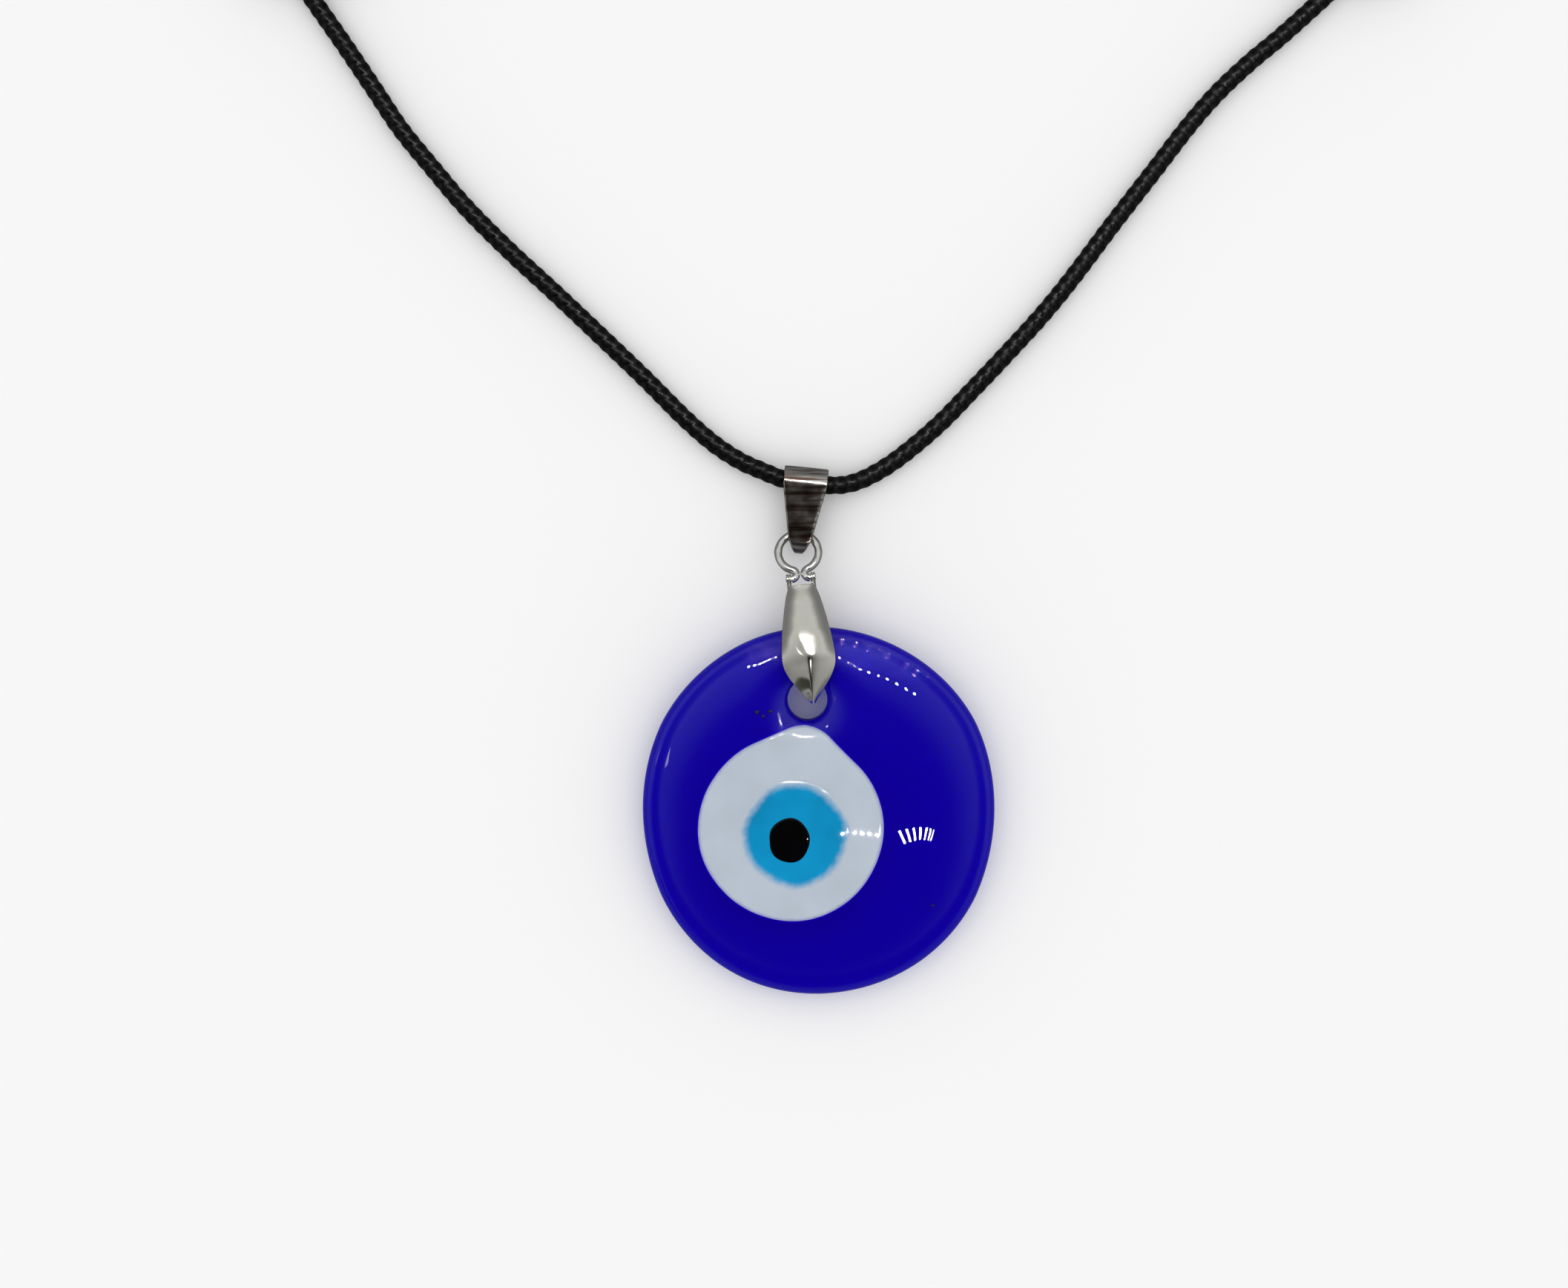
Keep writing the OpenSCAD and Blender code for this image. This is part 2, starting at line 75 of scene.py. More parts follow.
def frame_from(origin, across, up):
    """A matrix whose X is across, whose Z is as near to up as it can be, and whose middle is origin."""
    x = across.normalized()
    y = up.cross(x).normalized()
    z = x.cross(y)
    return Matrix.Translation(origin) @ Matrix((x, y, z)).transposed().to_4x4()


hinge_point = joint_point("clip_swing")
eye_normal = joint_axis("eye_turn")
clip_frame = frame_from(hinge_point, -joint_axis("clip_swing"), eye_normal)
pendant_frame = frame_from(hinge_point, Vector((1, 0, 0)), eye_normal)
disc_middle = Vector((2, -26.3, -2.412)) * MM
ring_tilt, bail_tilt = radians(-24), radians(-2)
disc_frame = pendant_frame @ Matrix.Translation(disc_middle)
ring_frame = clip_frame @ Matrix.Rotation(ring_tilt, 4, "X")
bail_frame = frame_from(joint_point("bail_swing"), -joint_axis("bail_swing"), UP)
bail_frame = bail_frame @ Matrix.Rotation(bail_tilt, 4, "X")
print("the hinge of the clip is at", [round(v / MM, 2) for v in hinge_point])

# %% [markdown]
# ## Camera
# The pendant is looked at from straight above. A fairly long lens from about a forearm's length away keeps
# the disc round, and still shows a little of the rim's thickness.

# %% Make the camera
view_width, lens, sensor = 0.1766, 70, 36
aim = hinge_point + Vector((-0.0019, -0.0074, 0))
camera_data = bpy.data.cameras.new("camera")
camera_data.lens = lens
camera_data.sensor_width = sensor
camera_data.clip_start = 0.01
camera_data.clip_end = 10
camera = bpy.data.objects.new("camera", camera_data)
camera.location = aim + Vector((0, 0, view_width * lens / sensor))
scene.collection.objects.link(camera)
scene.camera = camera
scene.view_settings.view_transform = "Standard"
print("camera height in mm:", round(camera.location.z / MM, 1))

# %% [markdown]
# ## Helpers for meshes
# Nearly every piece here is either a grid of points that is bent into shape, or a ring of points that is
# carried along a path. Writing points and faces one by one gives clean quads, and the shape stays a formula
# that can be read. A few helpers are enough for the whole pendant.

# %% Faces of a grid, and a piece made from points
def grid_faces(rows, columns, closed_rows=False, start=0):
    """Quads between rows of points that lie one after the other. Each row is a closed ring."""
    faces = []
    for i in range(rows if closed_rows else rows - 1):
        for k in range(columns):
            i_next, k_next = (i + 1) % rows, (k + 1) % columns
            faces.append((
                start + i * columns + k, start + i * columns + k_next,
                start + i_next * columns + k_next, start + i_next * columns + k,
            ))
    return faces


def join_parts(parts):
    """One list of points and one of faces, from several."""
    points, faces = [], []
    for part_points, part_faces in parts:
        start = len(points)
        points += part_points
        faces += [tuple(start + index for index in face) for face in part_faces]
    return points, faces


def in_frame(place, points):
    """Points in millimetres in a part's own frame, as points of the model."""
    return [place @ (Vector(p) * MM) for p in points]


def finish_piece(piece, body, stands_for, sharp):
    """Shades a piece, lets it ride on a body of the model, and hides the parts of the model that it stands
    for.
    """
    piece.data.shade_smooth()
    piece.data.set_sharp_from_angle(angle=radians(sharp))
    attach(piece, body)
    if stands_for:
        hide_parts(*stands_for)
    print(piece.name, "has", len(piece.data.polygons), "faces")
    return piece


def make_piece(name, points, faces, material, body, stands_for=(), sharp=40):
    """A piece of the object, from points in metres and faces."""
    mesh = bpy.data.meshes.new(name)
    mesh.from_pydata([tuple(p) for p in points], [], faces)
    mesh.validate()
    work = bmesh.new()
    work.from_mesh(mesh)
    bmesh.ops.remove_doubles(work, verts=work.verts, dist=1e-7)
    bmesh.ops.recalc_face_normals(work, faces=work.faces)
    work.to_mesh(mesh)
    work.free()
    mesh.materials.append(material)
    piece = bpy.data.objects.new(name, mesh)
    scene.collection.objects.link(piece)
    return finish_piece(piece, body, stands_for, sharp)


def store(piece, name, values):
    """Keeps one number for each point, for a material to read."""
    piece.data.attributes.new(name, "FLOAT", "POINT").data.foreach_set("value", values)


def smooth_step(x):
    x = min(1.0, max(0.0, x))
    return x * x * (3 - 2 * x)


def between(table, t):
    """Reads a curve of (t, value) pairs, straight from one pair to the next."""
    for (t0, v0), (t1, v1) in zip(table, table[1:]):
        if t <= t1:
            return v0 + (v1 - v0) * (t - t0) / (t1 - t0)
    return table[-1][1]


# %% [markdown]
# ### Sweeping a wire or a cord
# A tube along a path needs a side direction at every point. Carrying the side direction along, and only
# taking out what leans forward, keeps the tube from twisting in the bends.

# %% Carry a frame along a path, sweep a section along it, and turn a profile
def side_directions(path, first_up):
    """A heading and two side directions for each point of a path."""
    result = []
    up = first_up.normalized()
    for i, point in enumerate(path):
        before, after = path[max(i - 1, 0)], path[min(i + 1, len(path) - 1)]
        heading = (after - before).normalized()
        up = (up - heading * up.dot(heading)).normalized()
        result.append((heading, heading.cross(up), up))
    return result


def sweep(path, section, first_up, capped=True):
    """Points and faces of a tube. section(i) gives the (side, up) offsets of ring i."""
    points = []
    for i, (_, side, up) in enumerate(side_directions(path, first_up)):
        points += [path[i] + side * a + up * b for a, b in section(i)]
    count = len(section(0))
    faces = grid_faces(len(path), count)
    if capped:
        faces.append(tuple(range(count)))
        faces.append(tuple(range(len(points) - count, len(points)))[::-1])
    return points, faces


def circle(radius, steps):
    """Points of a circle as (x, y) pairs."""
    return [(radius * cos(tau * k / steps), radius * sin(tau * k / steps))
            for k in range(steps)]


def lathe(profile, steps, place=Matrix()):
    """Points and faces of a turned piece. profile holds (along, radius) pairs, and its axis is X."""
    points = [place @ Vector((along, *spot)) for along, radius in profile for spot in circle(radius, steps)]
    return points, grid_faces(len(profile), steps)


def arc(radius, centre, start, end, steps):
    """Points of an arc as (x, y) pairs, by angles in degrees."""
    angles = [radians(start + (end - start) * i / steps) for i in range(steps + 1)]
    return [(centre[0] + radius * cos(a), centre[1] + radius * sin(a)) for a in angles]


# %% [markdown]
# ## The cord's route
# The cord is one length of braided cotton, soaked in wax. It starts in the left end cap, lies in a coil,
# comes down through the bail and goes back up to a second coil and the other end cap. Chosen points give the
# free stretch, and each coil is a loop: a flat spiral whose outer turns hump over the lead-in.

# %% Points of the free stretch, the coils and the tails
run_points = [
    (-62, 89.5, 1), (-59.5, 86, 1), (-57, 82.3, 1), (-54, 78, 1), (-50.5, 72.8, 1), (-47.5, 68.3, 1),
    (-44, 64, 1), (-40, 59.3, 1), (-35, 54.3, 1), (-30, 49.7, 1), (-24.5, 44.5, 1), (-19.7, 39.9, 1),
    (-15.3, 35.5, 1), (-12, 32.6, 1), (-9, 30.6, 1.1), (-6.4, 29.4, 1.5), (-3.9, 28.4, 1.9),
    (-1.5, 28.05, 1.95), (1, 27.75, 1.9), (3.4, 27.9, 1.5), (6, 28.9, 1.1), (9.3, 31, 1), (13.7, 34.7, 1),
    (17.6, 38.7, 1), (21.3, 42.6, 1), (25.5, 47.2, 1), (29, 51.5, 1), (33.5, 57.5, 1), (38, 63.3, 1),
    (42, 68.5, 1), (45.3, 72.3, 1), (49, 75.8, 1), (52.6, 78.8, 1), (56.5, 82.3, 1), (60.5, 86, 1),
    (64.2, 89.3, 1),
]
cord_radius = 1
coil_inner = 8
turn_step = 2 * cord_radius
points_per_turn = 24
crossings, hump_reach = (0.902, 1.869), 0.125
left_coil_middle, left_entry, left_turns = (-58, 98), 215, 2.347
right_coil_middle, right_entry, right_turns = (62, 98), -48, 2.383
tail_y = 110.7
tail_rise = [(13.5, 1.6), (9.5, 1.6), (8, 1.55), (5.5, 1.15), (3, 1)]


def hump(turn):
    """How high a turn is lifted where it passes over the lead-in."""
    away = min(abs(turn - crossing) for crossing in crossings) / hump_reach
    return turn_step * (1 + cos(pi * away)) / 2 if away < 1 else 0


def coil_points(middle, entry, turning, turns):
    """A flat spiral from its inner end. turning is 1 or -1, and entry is in degrees."""
    result = []
    steps = int(turns * points_per_turn)
    for i in range(steps + 1):
        turn = turns * i / steps
        angle = radians(entry + turning * 360 * turn)
        radius = coil_inner + turn_step * turn
        result.append((
            middle[0] + radius * cos(angle),
            middle[1] + radius * sin(angle),
            cord_radius + hump(turn),
        ))
    return result


left_coil = coil_points(left_coil_middle, left_entry, -1, left_turns)
right_coil = coil_points(right_coil_middle, right_entry, 1, right_turns)
left_tail = [(left_coil_middle[0] + along, tail_y, z) for along, z in tail_rise]
right_tail = [(right_coil_middle[0] - along, tail_y, z) for along, z in reversed(tail_rise)]
route = [Vector(p) * MM for p in left_tail + left_coil[::-1] + run_points + right_coil + right_tail]


# %% Smooth the route into one fine path
def through_points(points, step):
    """A smooth curve through all points, as points one step apart."""
    fine = []
    for i in range(len(points) - 1):
        a = points[max(i - 1, 0)]
        b, c = points[i], points[i + 1]
        d = points[min(i + 2, len(points) - 1)]
        pieces = max(2, ceil((c - b).length / step * 2))
        for k in range(pieces):
            t = k / pieces
            fine.append(0.5 * (
                2 * b + (c - a) * t + (2 * a - 5 * b + 4 * c - d) * t ** 2
                + (3 * b - a - 3 * c + d) * t ** 3
            ))
    fine.append(points[-1])
    even, left = [fine[0]], step
    for p, q in zip(fine, fine[1:]):
        gap = (q - p).length
        while gap >= left > 0:
            p = p + (q - p) * (left / gap)
            gap = (q - p).length
            even.append(p)
            left = step
        left -= gap
    return even


braid_step = 0.2 * MM
cord_path = through_points(route, braid_step)
cord_length = sum((b - a).length for a, b in zip(cord_path, cord_path[1:]))
print("the cord is", round(cord_length / MM, 1), "mm long, in", len(cord_path), "steps")

# %% [markdown]
# ## Shared finishes
# Three effects come back on several materials, so each is a node group that is built once: the slow change
# of tone on plated metal, the fine lines that polishing leaves, and the slow ripple of pressed glass. A group
# hands out only a colour, a roughness, a mask or a height. The shader itself stays in each material.

# %% A small kit for node trees: a node and a socket both know their tree, as id_data
def plug(target, inputs):
    """Fills a node's inputs, by name or number: a socket is linked, and anything else is a fixed value."""
    for name, value in inputs.items():
        if isinstance(value, bpy.types.NodeSocket):
            target.id_data.links.new(value, target.inputs[name])
        else:
            target.inputs[name].default_value = value


def node(tree, kind, inputs=None, **settings):
    made = tree.nodes.new("ShaderNode" + kind)
    for key, value in settings.items():
        setattr(made, key, value)
    plug(made, inputs or {})
    return made


def object_place(tree):
    return node(tree, "TexCoord").outputs["Object"]


def noise(vector, scale, detail):
    inputs = {"Vector": vector, "Scale": scale, "Detail": detail}
    return node(vector.id_data, "TexNoise", inputs).outputs["Fac"]


def spread(value, low, high, new_low=0.0, new_high=1.0):
    """Stretches a value from one range to another."""
    return node(value.id_data, "MapRange", {
        "Value": value, "From Min": low, "From Max": high, "To Min": new_low, "To Max": new_high,
    }).outputs["Result"]


def mix(factor, a, b):
    """The colour between a and b."""
    return node(factor.id_data, "Mix", {"Factor": factor, "A": a, "B": b}, data_type="RGBA").outputs["Result"]


def multiply_add(a, b, c=0.0):
    return node(a.id_data, "Math", {0: a, 1: b, 2: c}, operation="MULTIPLY_ADD").outputs[0]


NUMBER, COLOUR = "NodeSocketFloat", "NodeSocketColor"


def new_group(name, inputs, outputs):
    """A shader node group. inputs holds (name, kind, default), and outputs holds (name, kind)."""
    group = bpy.data.node_groups.new(name, "ShaderNodeTree")
    for title, kind, default in inputs:
        group.interface.new_socket(name=title, in_out="INPUT", socket_type=kind).default_value = default
    for title, kind in outputs:
        group.interface.new_socket(name=title, in_out="OUTPUT", socket_type=kind)
    entry, leave = group.nodes.new("NodeGroupInput"), group.nodes.new("NodeGroupOutput")
    return group, entry.outputs, leave, object_place(group)


def place_group(tree, group, **values):
    """Puts a group in a material. Its inputs are given by name, with _ for a space."""
    made = tree.nodes.new("ShaderNodeGroup")
    made.node_tree = group
    plug(made, {name.replace("_", " "): value for name, value in values.items()})
    return made.outputs


# %% Plate tone: plated metal that has been handled
plate_tone, entry, leave, where = new_group(
    "plate_tone",
    [("Colour", COLOUR, (0.8, 0.8, 0.8, 1)), ("Dull colour", COLOUR, (0.5, 0.5, 0.5, 1)),
     ("Roughness", NUMBER, 0.2), ("Wear", NUMBER, 0.3), ("Scale", NUMBER, 600)],
    [("Colour", COLOUR), ("Roughness", NUMBER)])
patch = spread(noise(where, entry["Scale"], 4), 0.35, 0.75)
worn = multiply_add(patch, entry["Wear"])
rougher_where_worn = 0.35
plug(leave, {
    "Colour": mix(worn, entry["Colour"], entry["Dull colour"]),
    "Roughness": multiply_add(worn, rougher_where_worn, entry["Roughness"]),
})

# %% Polishing lines: fine streaks that run along X
polish_lines, entry, leave, where = new_group(
    "polish_lines",
    [("Fineness", NUMBER, 4000), ("Stretch", NUMBER, 0.08)],
    [("Height", NUMBER), ("Mask", NUMBER)])
stretch = node(polish_lines, "CombineXYZ", {"X": entry["Stretch"], "Y": 1, "Z": 1}).outputs[0]
pulled = node(polish_lines, "VectorMath", {0: where, 1: stretch}, operation="MULTIPLY").outputs[0]
streaks = noise(pulled, entry["Fineness"], 3)
plug(leave, {"Height": streaks, "Mask": spread(streaks, 0.45, 0.65)})

# %% Glass ripple: the slow waves and small pits of pressed glass
glass_ripple, entry, leave, where = new_group(
    "glass_ripple", [("Waves", NUMBER, 90), ("Pits", NUMBER, 1400)], [("Height", NUMBER)])
waves = noise(where, entry["Waves"], 1)
pits = spread(noise(where, entry["Pits"], 2), 0.72, 0.8, 0, -0.05)
rippled = node(glass_ripple, "Math", {0: waves, 1: pits}, operation="ADD").outputs[0]
plug(leave, {"Height": rippled})


# %% [markdown]
# ## Materials
# Each finish of the real pendant has one function or one cell, in the order in which light meets it: the
# deep blue glass, the three opaque glasses laid on it, the plated metals, and the waxed cord.

# %% Start a material, and bend its surface by a height
GLASS_IOR = 1.5


def new_material(name, inputs):
    """A material, its tree and its shader, with the shader's fixed inputs filled."""
    material = bpy.data.materials.new(name)
    material.use_nodes = True
    tree = material.node_tree
    shader = tree.nodes["Principled BSDF"]
    plug(shader, inputs)
    return material, tree, shader


def bend_surface(shader, height, distance, strength=1.0):
    bump = node(shader.id_data, "Bump", {"Strength": strength, "Distance": distance, "Height": height})
    plug(shader, {"Normal": bump.outputs["Normal"]})


def ripple_surface(shader, waves, pits):
    ripple = place_group(shader.id_data, glass_ripple, Waves=waves, Pits=pits)
    bend_surface(shader, ripple["Height"], 0.02 * MM, 0.2)


# %% [markdown]
# ### Cobalt glass
# The disc is glass with so much cobalt in it that it is nearly opaque. A part of the light is scattered back
# as deep blue, and the rest goes through and is absorbed in the depth, so the thin rim glows a little. The
# tint on the surface also keeps the disc blue in viewers that leave volumes out.

# %% Cobalt glass
cobalt, tree, shader = new_material("cobalt_glass", {
    "Base Color": (0.02, 0.0, 0.97, 1), "Roughness": 0.0, "IOR": GLASS_IOR, "Specular IOR Level": 0.075,
    "Transmission Weight": 0.77,
})
absorb = node(tree, "VolumeAbsorption", {"Color": (0.5, 0.02, 0.97, 1), "Density": 220})
plug(tree.nodes["Material Output"], {"Volume": absorb.outputs["Volume"]})
ripple_surface(shader, 70, 1100)

# %% [markdown]
# ### Opaque glasses
# White, light blue and black glass are laid on as soft drops, one in the other. Where two colours meet they
# run into each other a little. Each mesh stores how far every point is from the drop's edge, and the
# material blends the edge colour in over that distance, with some noise so that the line is not drawn.

# %% A drop of opaque glass whose edge blends into its neighbour
def drop_material(name, colour, edge_colour, edge_width, unevenness, cloud):
    material, tree, shader = new_material(
        name, {"Roughness": 0.03, "IOR": GLASS_IOR, "Specular IOR Level": 0.35})
    where = object_place(tree)
    to_edge = node(tree, "Attribute", attribute_name="to_edge").outputs["Fac"]
    ragged = edge_width * unevenness
    inside = node(tree, "MapRange", {
        "Value": multiply_add(noise(where, 1300, 3), -ragged, to_edge),
        "From Min": -ragged / 2, "From Max": edge_width,
    }, interpolation_type="SMOOTHSTEP").outputs["Result"]
    cloudy = tuple(cloud * c for c in colour[:3]) + (1,)
    body = mix(spread(noise(where, 210, 2), 0.35, 0.7), colour, cloudy)
    plug(shader, {"Base Color": mix(inside, edge_colour, body)})
    ripple_surface(shader, 260, 1500)
    return material


white_colour, lavender = (0.50, 0.565, 0.645, 1), (0.16, 0.17, 0.5, 1)
sky_colour = (0.006, 0.30, 0.60, 1)
black_colour, black_edge = (0.0015, 0.0015, 0.002, 1), (0.002, 0.01, 0.015, 1)
white_drop = drop_material("white_glass", white_colour, lavender, 0.55, 0.4, 0.93)
sky_drop = drop_material("light_blue_glass", sky_colour, white_colour, 1.0, 0.6, 0.8)
black_drop = drop_material("black_glass", black_colour, black_edge, 0.12, 0.3, 0.8)

# %% [markdown]
# ### Plated metal
# The clip, the bail, the ring and the fittings are one kind of metal with four finishes. A function takes
# what differs: the colour, the polish, how worn it is, and its fine lines. The bail is also stained brown.

# %% Plated metal
def plate_material(name, colour, dull, roughness, wear, fineness, stretch, line_depth, stained=False):
    material, tree, shader = new_material(name, {"Metallic": 1.0})
    tone = place_group(tree, plate_tone, Colour=colour, Dull_colour=dull, Roughness=roughness, Wear=wear)
    lines = place_group(tree, polish_lines, Fineness=fineness, Stretch=stretch)
    shown = mix(lines["Mask"], tone["Colour"], dull) if stained else tone["Colour"]
    plug(shader, {"Base Color": shown, "Roughness": tone["Roughness"]})
    bend_surface(shader, lines["Height"], line_depth * MM)
    return material


leaf_plate = plate_material(
    "polished_plate", (0.80, 0.79, 0.75, 1), (0.62, 0.61, 0.57, 1), 0.09, 0.25, 2600, 0.5, 0.003)
bail_plate = plate_material(
    "satin_plate", (0.66, 0.65, 0.62, 1), (0.2, 0.13, 0.11, 1), 0.1, 0.3, 2600, 0.05, 0.009, True)
ring_plate = plate_material(
    "ring_wire", (0.93, 0.93, 0.93, 1), (0.34, 0.34, 0.33, 1), 0.06, 0.45, 2200, 0.7, 0.006)
fitting_plate = plate_material(
    "fitting_metal", (0.82, 0.81, 0.79, 1), (0.55, 0.53, 0.5, 1), 0.12, 0.35, 3000, 0.3, 0.005)

# %% [markdown]
# ### Waxed cord
# Cotton soaked in black wax is nearly black, but its ridges shine. The braid itself is in the mesh, so the
# material adds wax: fine fibres in the surface, and a gloss that changes from place to place. It also paints
# the grooves between the strands darker than the ridges, as painted shade.

# %% Waxed cord
wax, tree, shader = new_material("waxed_cord", {"Specular IOR Level": 0.14})
where = object_place(tree)
ridge = node(tree, "Attribute", attribute_name="ridge").outputs["Fac"]
groove_shade_black, ridge_black = (0.0012, 0.0012, 0.0014, 1), (0.009, 0.009, 0.0095, 1)
# The grooves between the strands are painted darker than the ridges: painted shade in the recesses of the
# braid.
plug(shader, {
    "Base Color": mix(spread(ridge, 0.55, 1.0), groove_shade_black, ridge_black),
    "Roughness": spread(noise(where, 900, 3), 0.3, 0.7, 0.2, 0.4),
})
bend_surface(shader, noise(where, 5200, 4), 0.03 * MM, 0.6)

# %% [markdown]
# ## The braided cord
# Eight strands cross each other, four one way and four the other. Round the cord and along it, every crossing
# is one cell of a slanted chequer, and in each cell one of the two strands lies on top. The height of the top
# strand is pushed into the tube's radius, so the braid is real geometry.

# %% Weave the cord
strands = 4
lay_length = 5.6 * MM
around = 32
strand_height = 0.13 * MM
core_radius = cord_radius * MM - 0.09 * MM


def braid_height(angle, along):
    """Height of the top strand, from 0 to 1, at an angle and a length along the cord."""
    one = strands * (angle / tau + along / lay_length)
    two = strands * (angle / tau - along / lay_length)
    if (floor(one) + floor(two)) % 2:
        one, two = two, one
    across = sin(pi * (one - floor(one)))
    lengthwise = sin(pi * (two - floor(two)))
    return across ** 0.6 * lengthwise ** 0.3


ridges = [[braid_height(tau * k / around, i * braid_step) for k in range(around)]
          for i in range(len(cord_path))]


def cord_section(i):
    """The cord's outline at step i: a circle, raised where a strand lies on top."""
    radii = [core_radius + strand_height * height for height in ridges[i]]
    return [(radius * x, radius * y) for radius, (x, y) in zip(radii, circle(1, around))]


cord_points, cord_faces = sweep(cord_path, cord_section, UP)
cord_nodes = ("cord_run", "cord_coil_left", "cord_coil_right", "cord_tail_left", "cord_tail_right")
cord = make_piece("waxed_cord", cord_points, cord_faces, wax, "cord", cord_nodes, sharp=180)
store(cord, "ridge", [height for ring in ridges for height in ring])

# %% [markdown]
# ## The glass disc
# The disc is pressed by hand: a wide, low dome with soft shoulders, a flat back, and a hole that was made
# with a rod while the glass was hot, so its lips are drawn in like a funnel. A cutter would leave hard edges
# in a shape that has none, so the surface is one grid of points from the lip of the hole out to the rim.

# %% Sizes of the disc, and how high its front and back stand
disc_radius, disc_stretch, disc_thick = 20.0, 1.8, 5.4
dome_radius = 120.0
shoulder_width, shoulder_drop = 7.2, 1.45
rim_round, rim_inset = 1.7, 0.1
hole_middle, hole_radius = Vector((-1.25, 12.65)), 2.35
funnel_width, funnel_drop = 4.4, 1.15
back_funnel_width, back_funnel_drop = 2.2, 0.4
lip_bulge = 0.12
land_middle, land_radius, land_rise, land_edge = Vector((0, -5)), 10.0, 0.1, 0.15


def disc_distance(x, y):
    """Distance from the disc's middle line, so that the rim is at disc_radius."""
    return hypot(x, max(0.0, abs(y) - disc_stretch / 2))


def ellipse_drop(inset, width, drop):
    """How far a soft edge has dropped at a distance from it: all of it at the edge, none past its width."""
    away = min(1.0, max(0.0, 1 - inset / width))
    return drop * (1 - sqrt(1 - away * away * 0.995))


def hand_waviness(x, y):
    """The slow unevenness that pressing by hand leaves."""
    return 0.014 * sin(0.31 * x + 0.8) * sin(0.27 * y - 0.4) + 0.006 * sin(0.5 * x - 0.45 * y)


def past_hole(x, y):
    return (Vector((x, y)) - hole_middle).length - hole_radius


def front_height(x, y, rise=0.0):
    d = disc_distance(x, y)
    dome = disc_thick + rise - dome_radius + sqrt(dome_radius ** 2 - d * d)
    return (
        dome + hand_waviness(x, y) - ellipse_drop(disc_radius - d, shoulder_width, shoulder_drop)
        - ellipse_drop(past_hole(x, y), funnel_width, funnel_drop)
    )


def back_height(x, y):
    inside_land = land_radius + land_edge - (Vector((x, y)) - land_middle).length
    funnel = ellipse_drop(past_hole(x, y), back_funnel_width, back_funnel_drop)
    return funnel - land_rise * smooth_step(inside_land / (2 * land_edge))


print("front height at the middle in mm:", round(front_height(0, 0), 2))


# %% The rim, and the grid of the disc
def rim_point(angle):
    """A point of the outline, and its direction inwards, by its angle round the disc."""
    wobble = 0.06 * sin(3 * angle + 1.1) + 0.05 * sin(5 * angle - 0.7)
    radius = disc_radius - rim_inset + wobble
    x, y = radius * cos(angle), radius * sin(angle)
    y += disc_stretch / 2 * max(-1.0, min(1.0, 2.2 * sin(angle)))
    return Vector((x, y)), Vector((-cos(angle), -sin(angle)))


def disc_grid(columns=192, face_rows=46, rim_rows=14, lip_rows=8):
    """Rows of points: from the hole's lip over the front, round the rim, over the back and up the hole."""
    rims = [rim_point(tau * k / columns) for k in range(columns)]
    lips = [hole_middle + (point - hole_middle).normalized() * hole_radius for point, _ in rims]
    outers = [point + inwards * rim_round for point, inwards in rims]

    def face_row(i, height):
        """Row i of the front or the back, counted from the lip."""
        flats = [lip.lerp(outer, (i / face_rows) ** 1.25) for lip, outer in zip(lips, outers)]
        return [(flat.x, flat.y, height(flat.x, flat.y)) for flat in flats]

    rows = [face_row(i, front_height) for i in range(face_rows + 1)]
    for i in range(1, rim_rows):
        turn = pi * i / rim_rows
        inset = rim_round * (1 - sin(turn) ** 0.8)
        level = 1 + copysign(abs(cos(turn)) ** 0.75, cos(turn))
        rows.append([(*(point + inwards * inset), front_height(*outer) / 2 * level)
                     for (point, inwards), outer in zip(rims, outers)])
    rows += [face_row(i, back_height) for i in range(face_rows, -1, -1)]
    low, high = rows[-1], rows[0]
    for i in range(1, lip_rows):
        part = i / lip_rows
        bulge = lip_bulge * sin(pi * part)
        rows.append([(*(lip - (lip - hole_middle).normalized() * bulge), a[2] + (b[2] - a[2]) * part)
                     for lip, a, b in zip(lips, low, high)])
    return [point for row in rows for point in row], grid_faces(len(rows), columns, True)


disc_points, disc_faces = disc_grid()
glass = make_piece(
    "cobalt_disc", in_frame(disc_frame, disc_points), disc_faces, cobalt, "eye",
    ("glass_disc",), sharp=60)

# %% [markdown]
# ### Bubbles and specks
# Cheap pressed glass traps a little air and ash. A bubble is a small closed surface inside the glass whose
# outside is turned inwards, so light bends at it as it does at the outer surface. Each one is a rounded
# shape that is pulled a little to one side, as the flow of the glass does.

# %% Small balls in the glass
draw = random.Random(7)


def rounded_blob(middle, size, pull, jagged=0.0, steps=12, rings=6):
    """Points and faces of a ball that is pulled along X, with its poles along Z."""
    offsets = [Vector((0, 0, -size)), Vector((0, 0, size))]
    for i in range(1, rings):
        tilt = pi * i / rings
        for k in range(steps):
            turn = tau * k / steps
            radius = size * (1 + (jagged * draw.uniform(-1, 1) if jagged else 0))
            offsets.append(Vector((
                pull * radius * sin(tilt) * cos(turn),
                radius * sin(tilt) * sin(turn),
                -radius * cos(tilt),
            )))
    faces = grid_faces(rings - 1, steps, start=2)
    last = 2 + (rings - 2) * steps
    for k in range(steps):
        faces.append((0, 2 + (k + 1) % steps, 2 + k))
        faces.append((1, last + k, last + (k + 1) % steps))
    return in_frame(disc_frame, [Vector(middle) + offset for offset in offsets]), faces


# %% Bubbles in the glass
bubble_parts = []
for _ in range(9):
    angle, distance = draw.uniform(0, tau), draw.uniform(12.5, 18)
    spot = (distance * cos(angle), distance * sin(angle), draw.uniform(1.2, 3.2))
    bubble_parts.append(rounded_blob(spot, draw.uniform(0.08, 0.2), draw.uniform(1.1, 2.2)))
bubble_points, bubble_faces = join_parts(bubble_parts)
work = bmesh.new()
work.from_mesh(glass.data)
corners = [work.verts.new(p) for p in bubble_points]
for face in bubble_faces:
    work.faces.new([corners[index] for index in face[::-1]]).smooth = True
work.to_mesh(glass.data)
work.free()
print("bubbles in the glass:", len(bubble_parts))

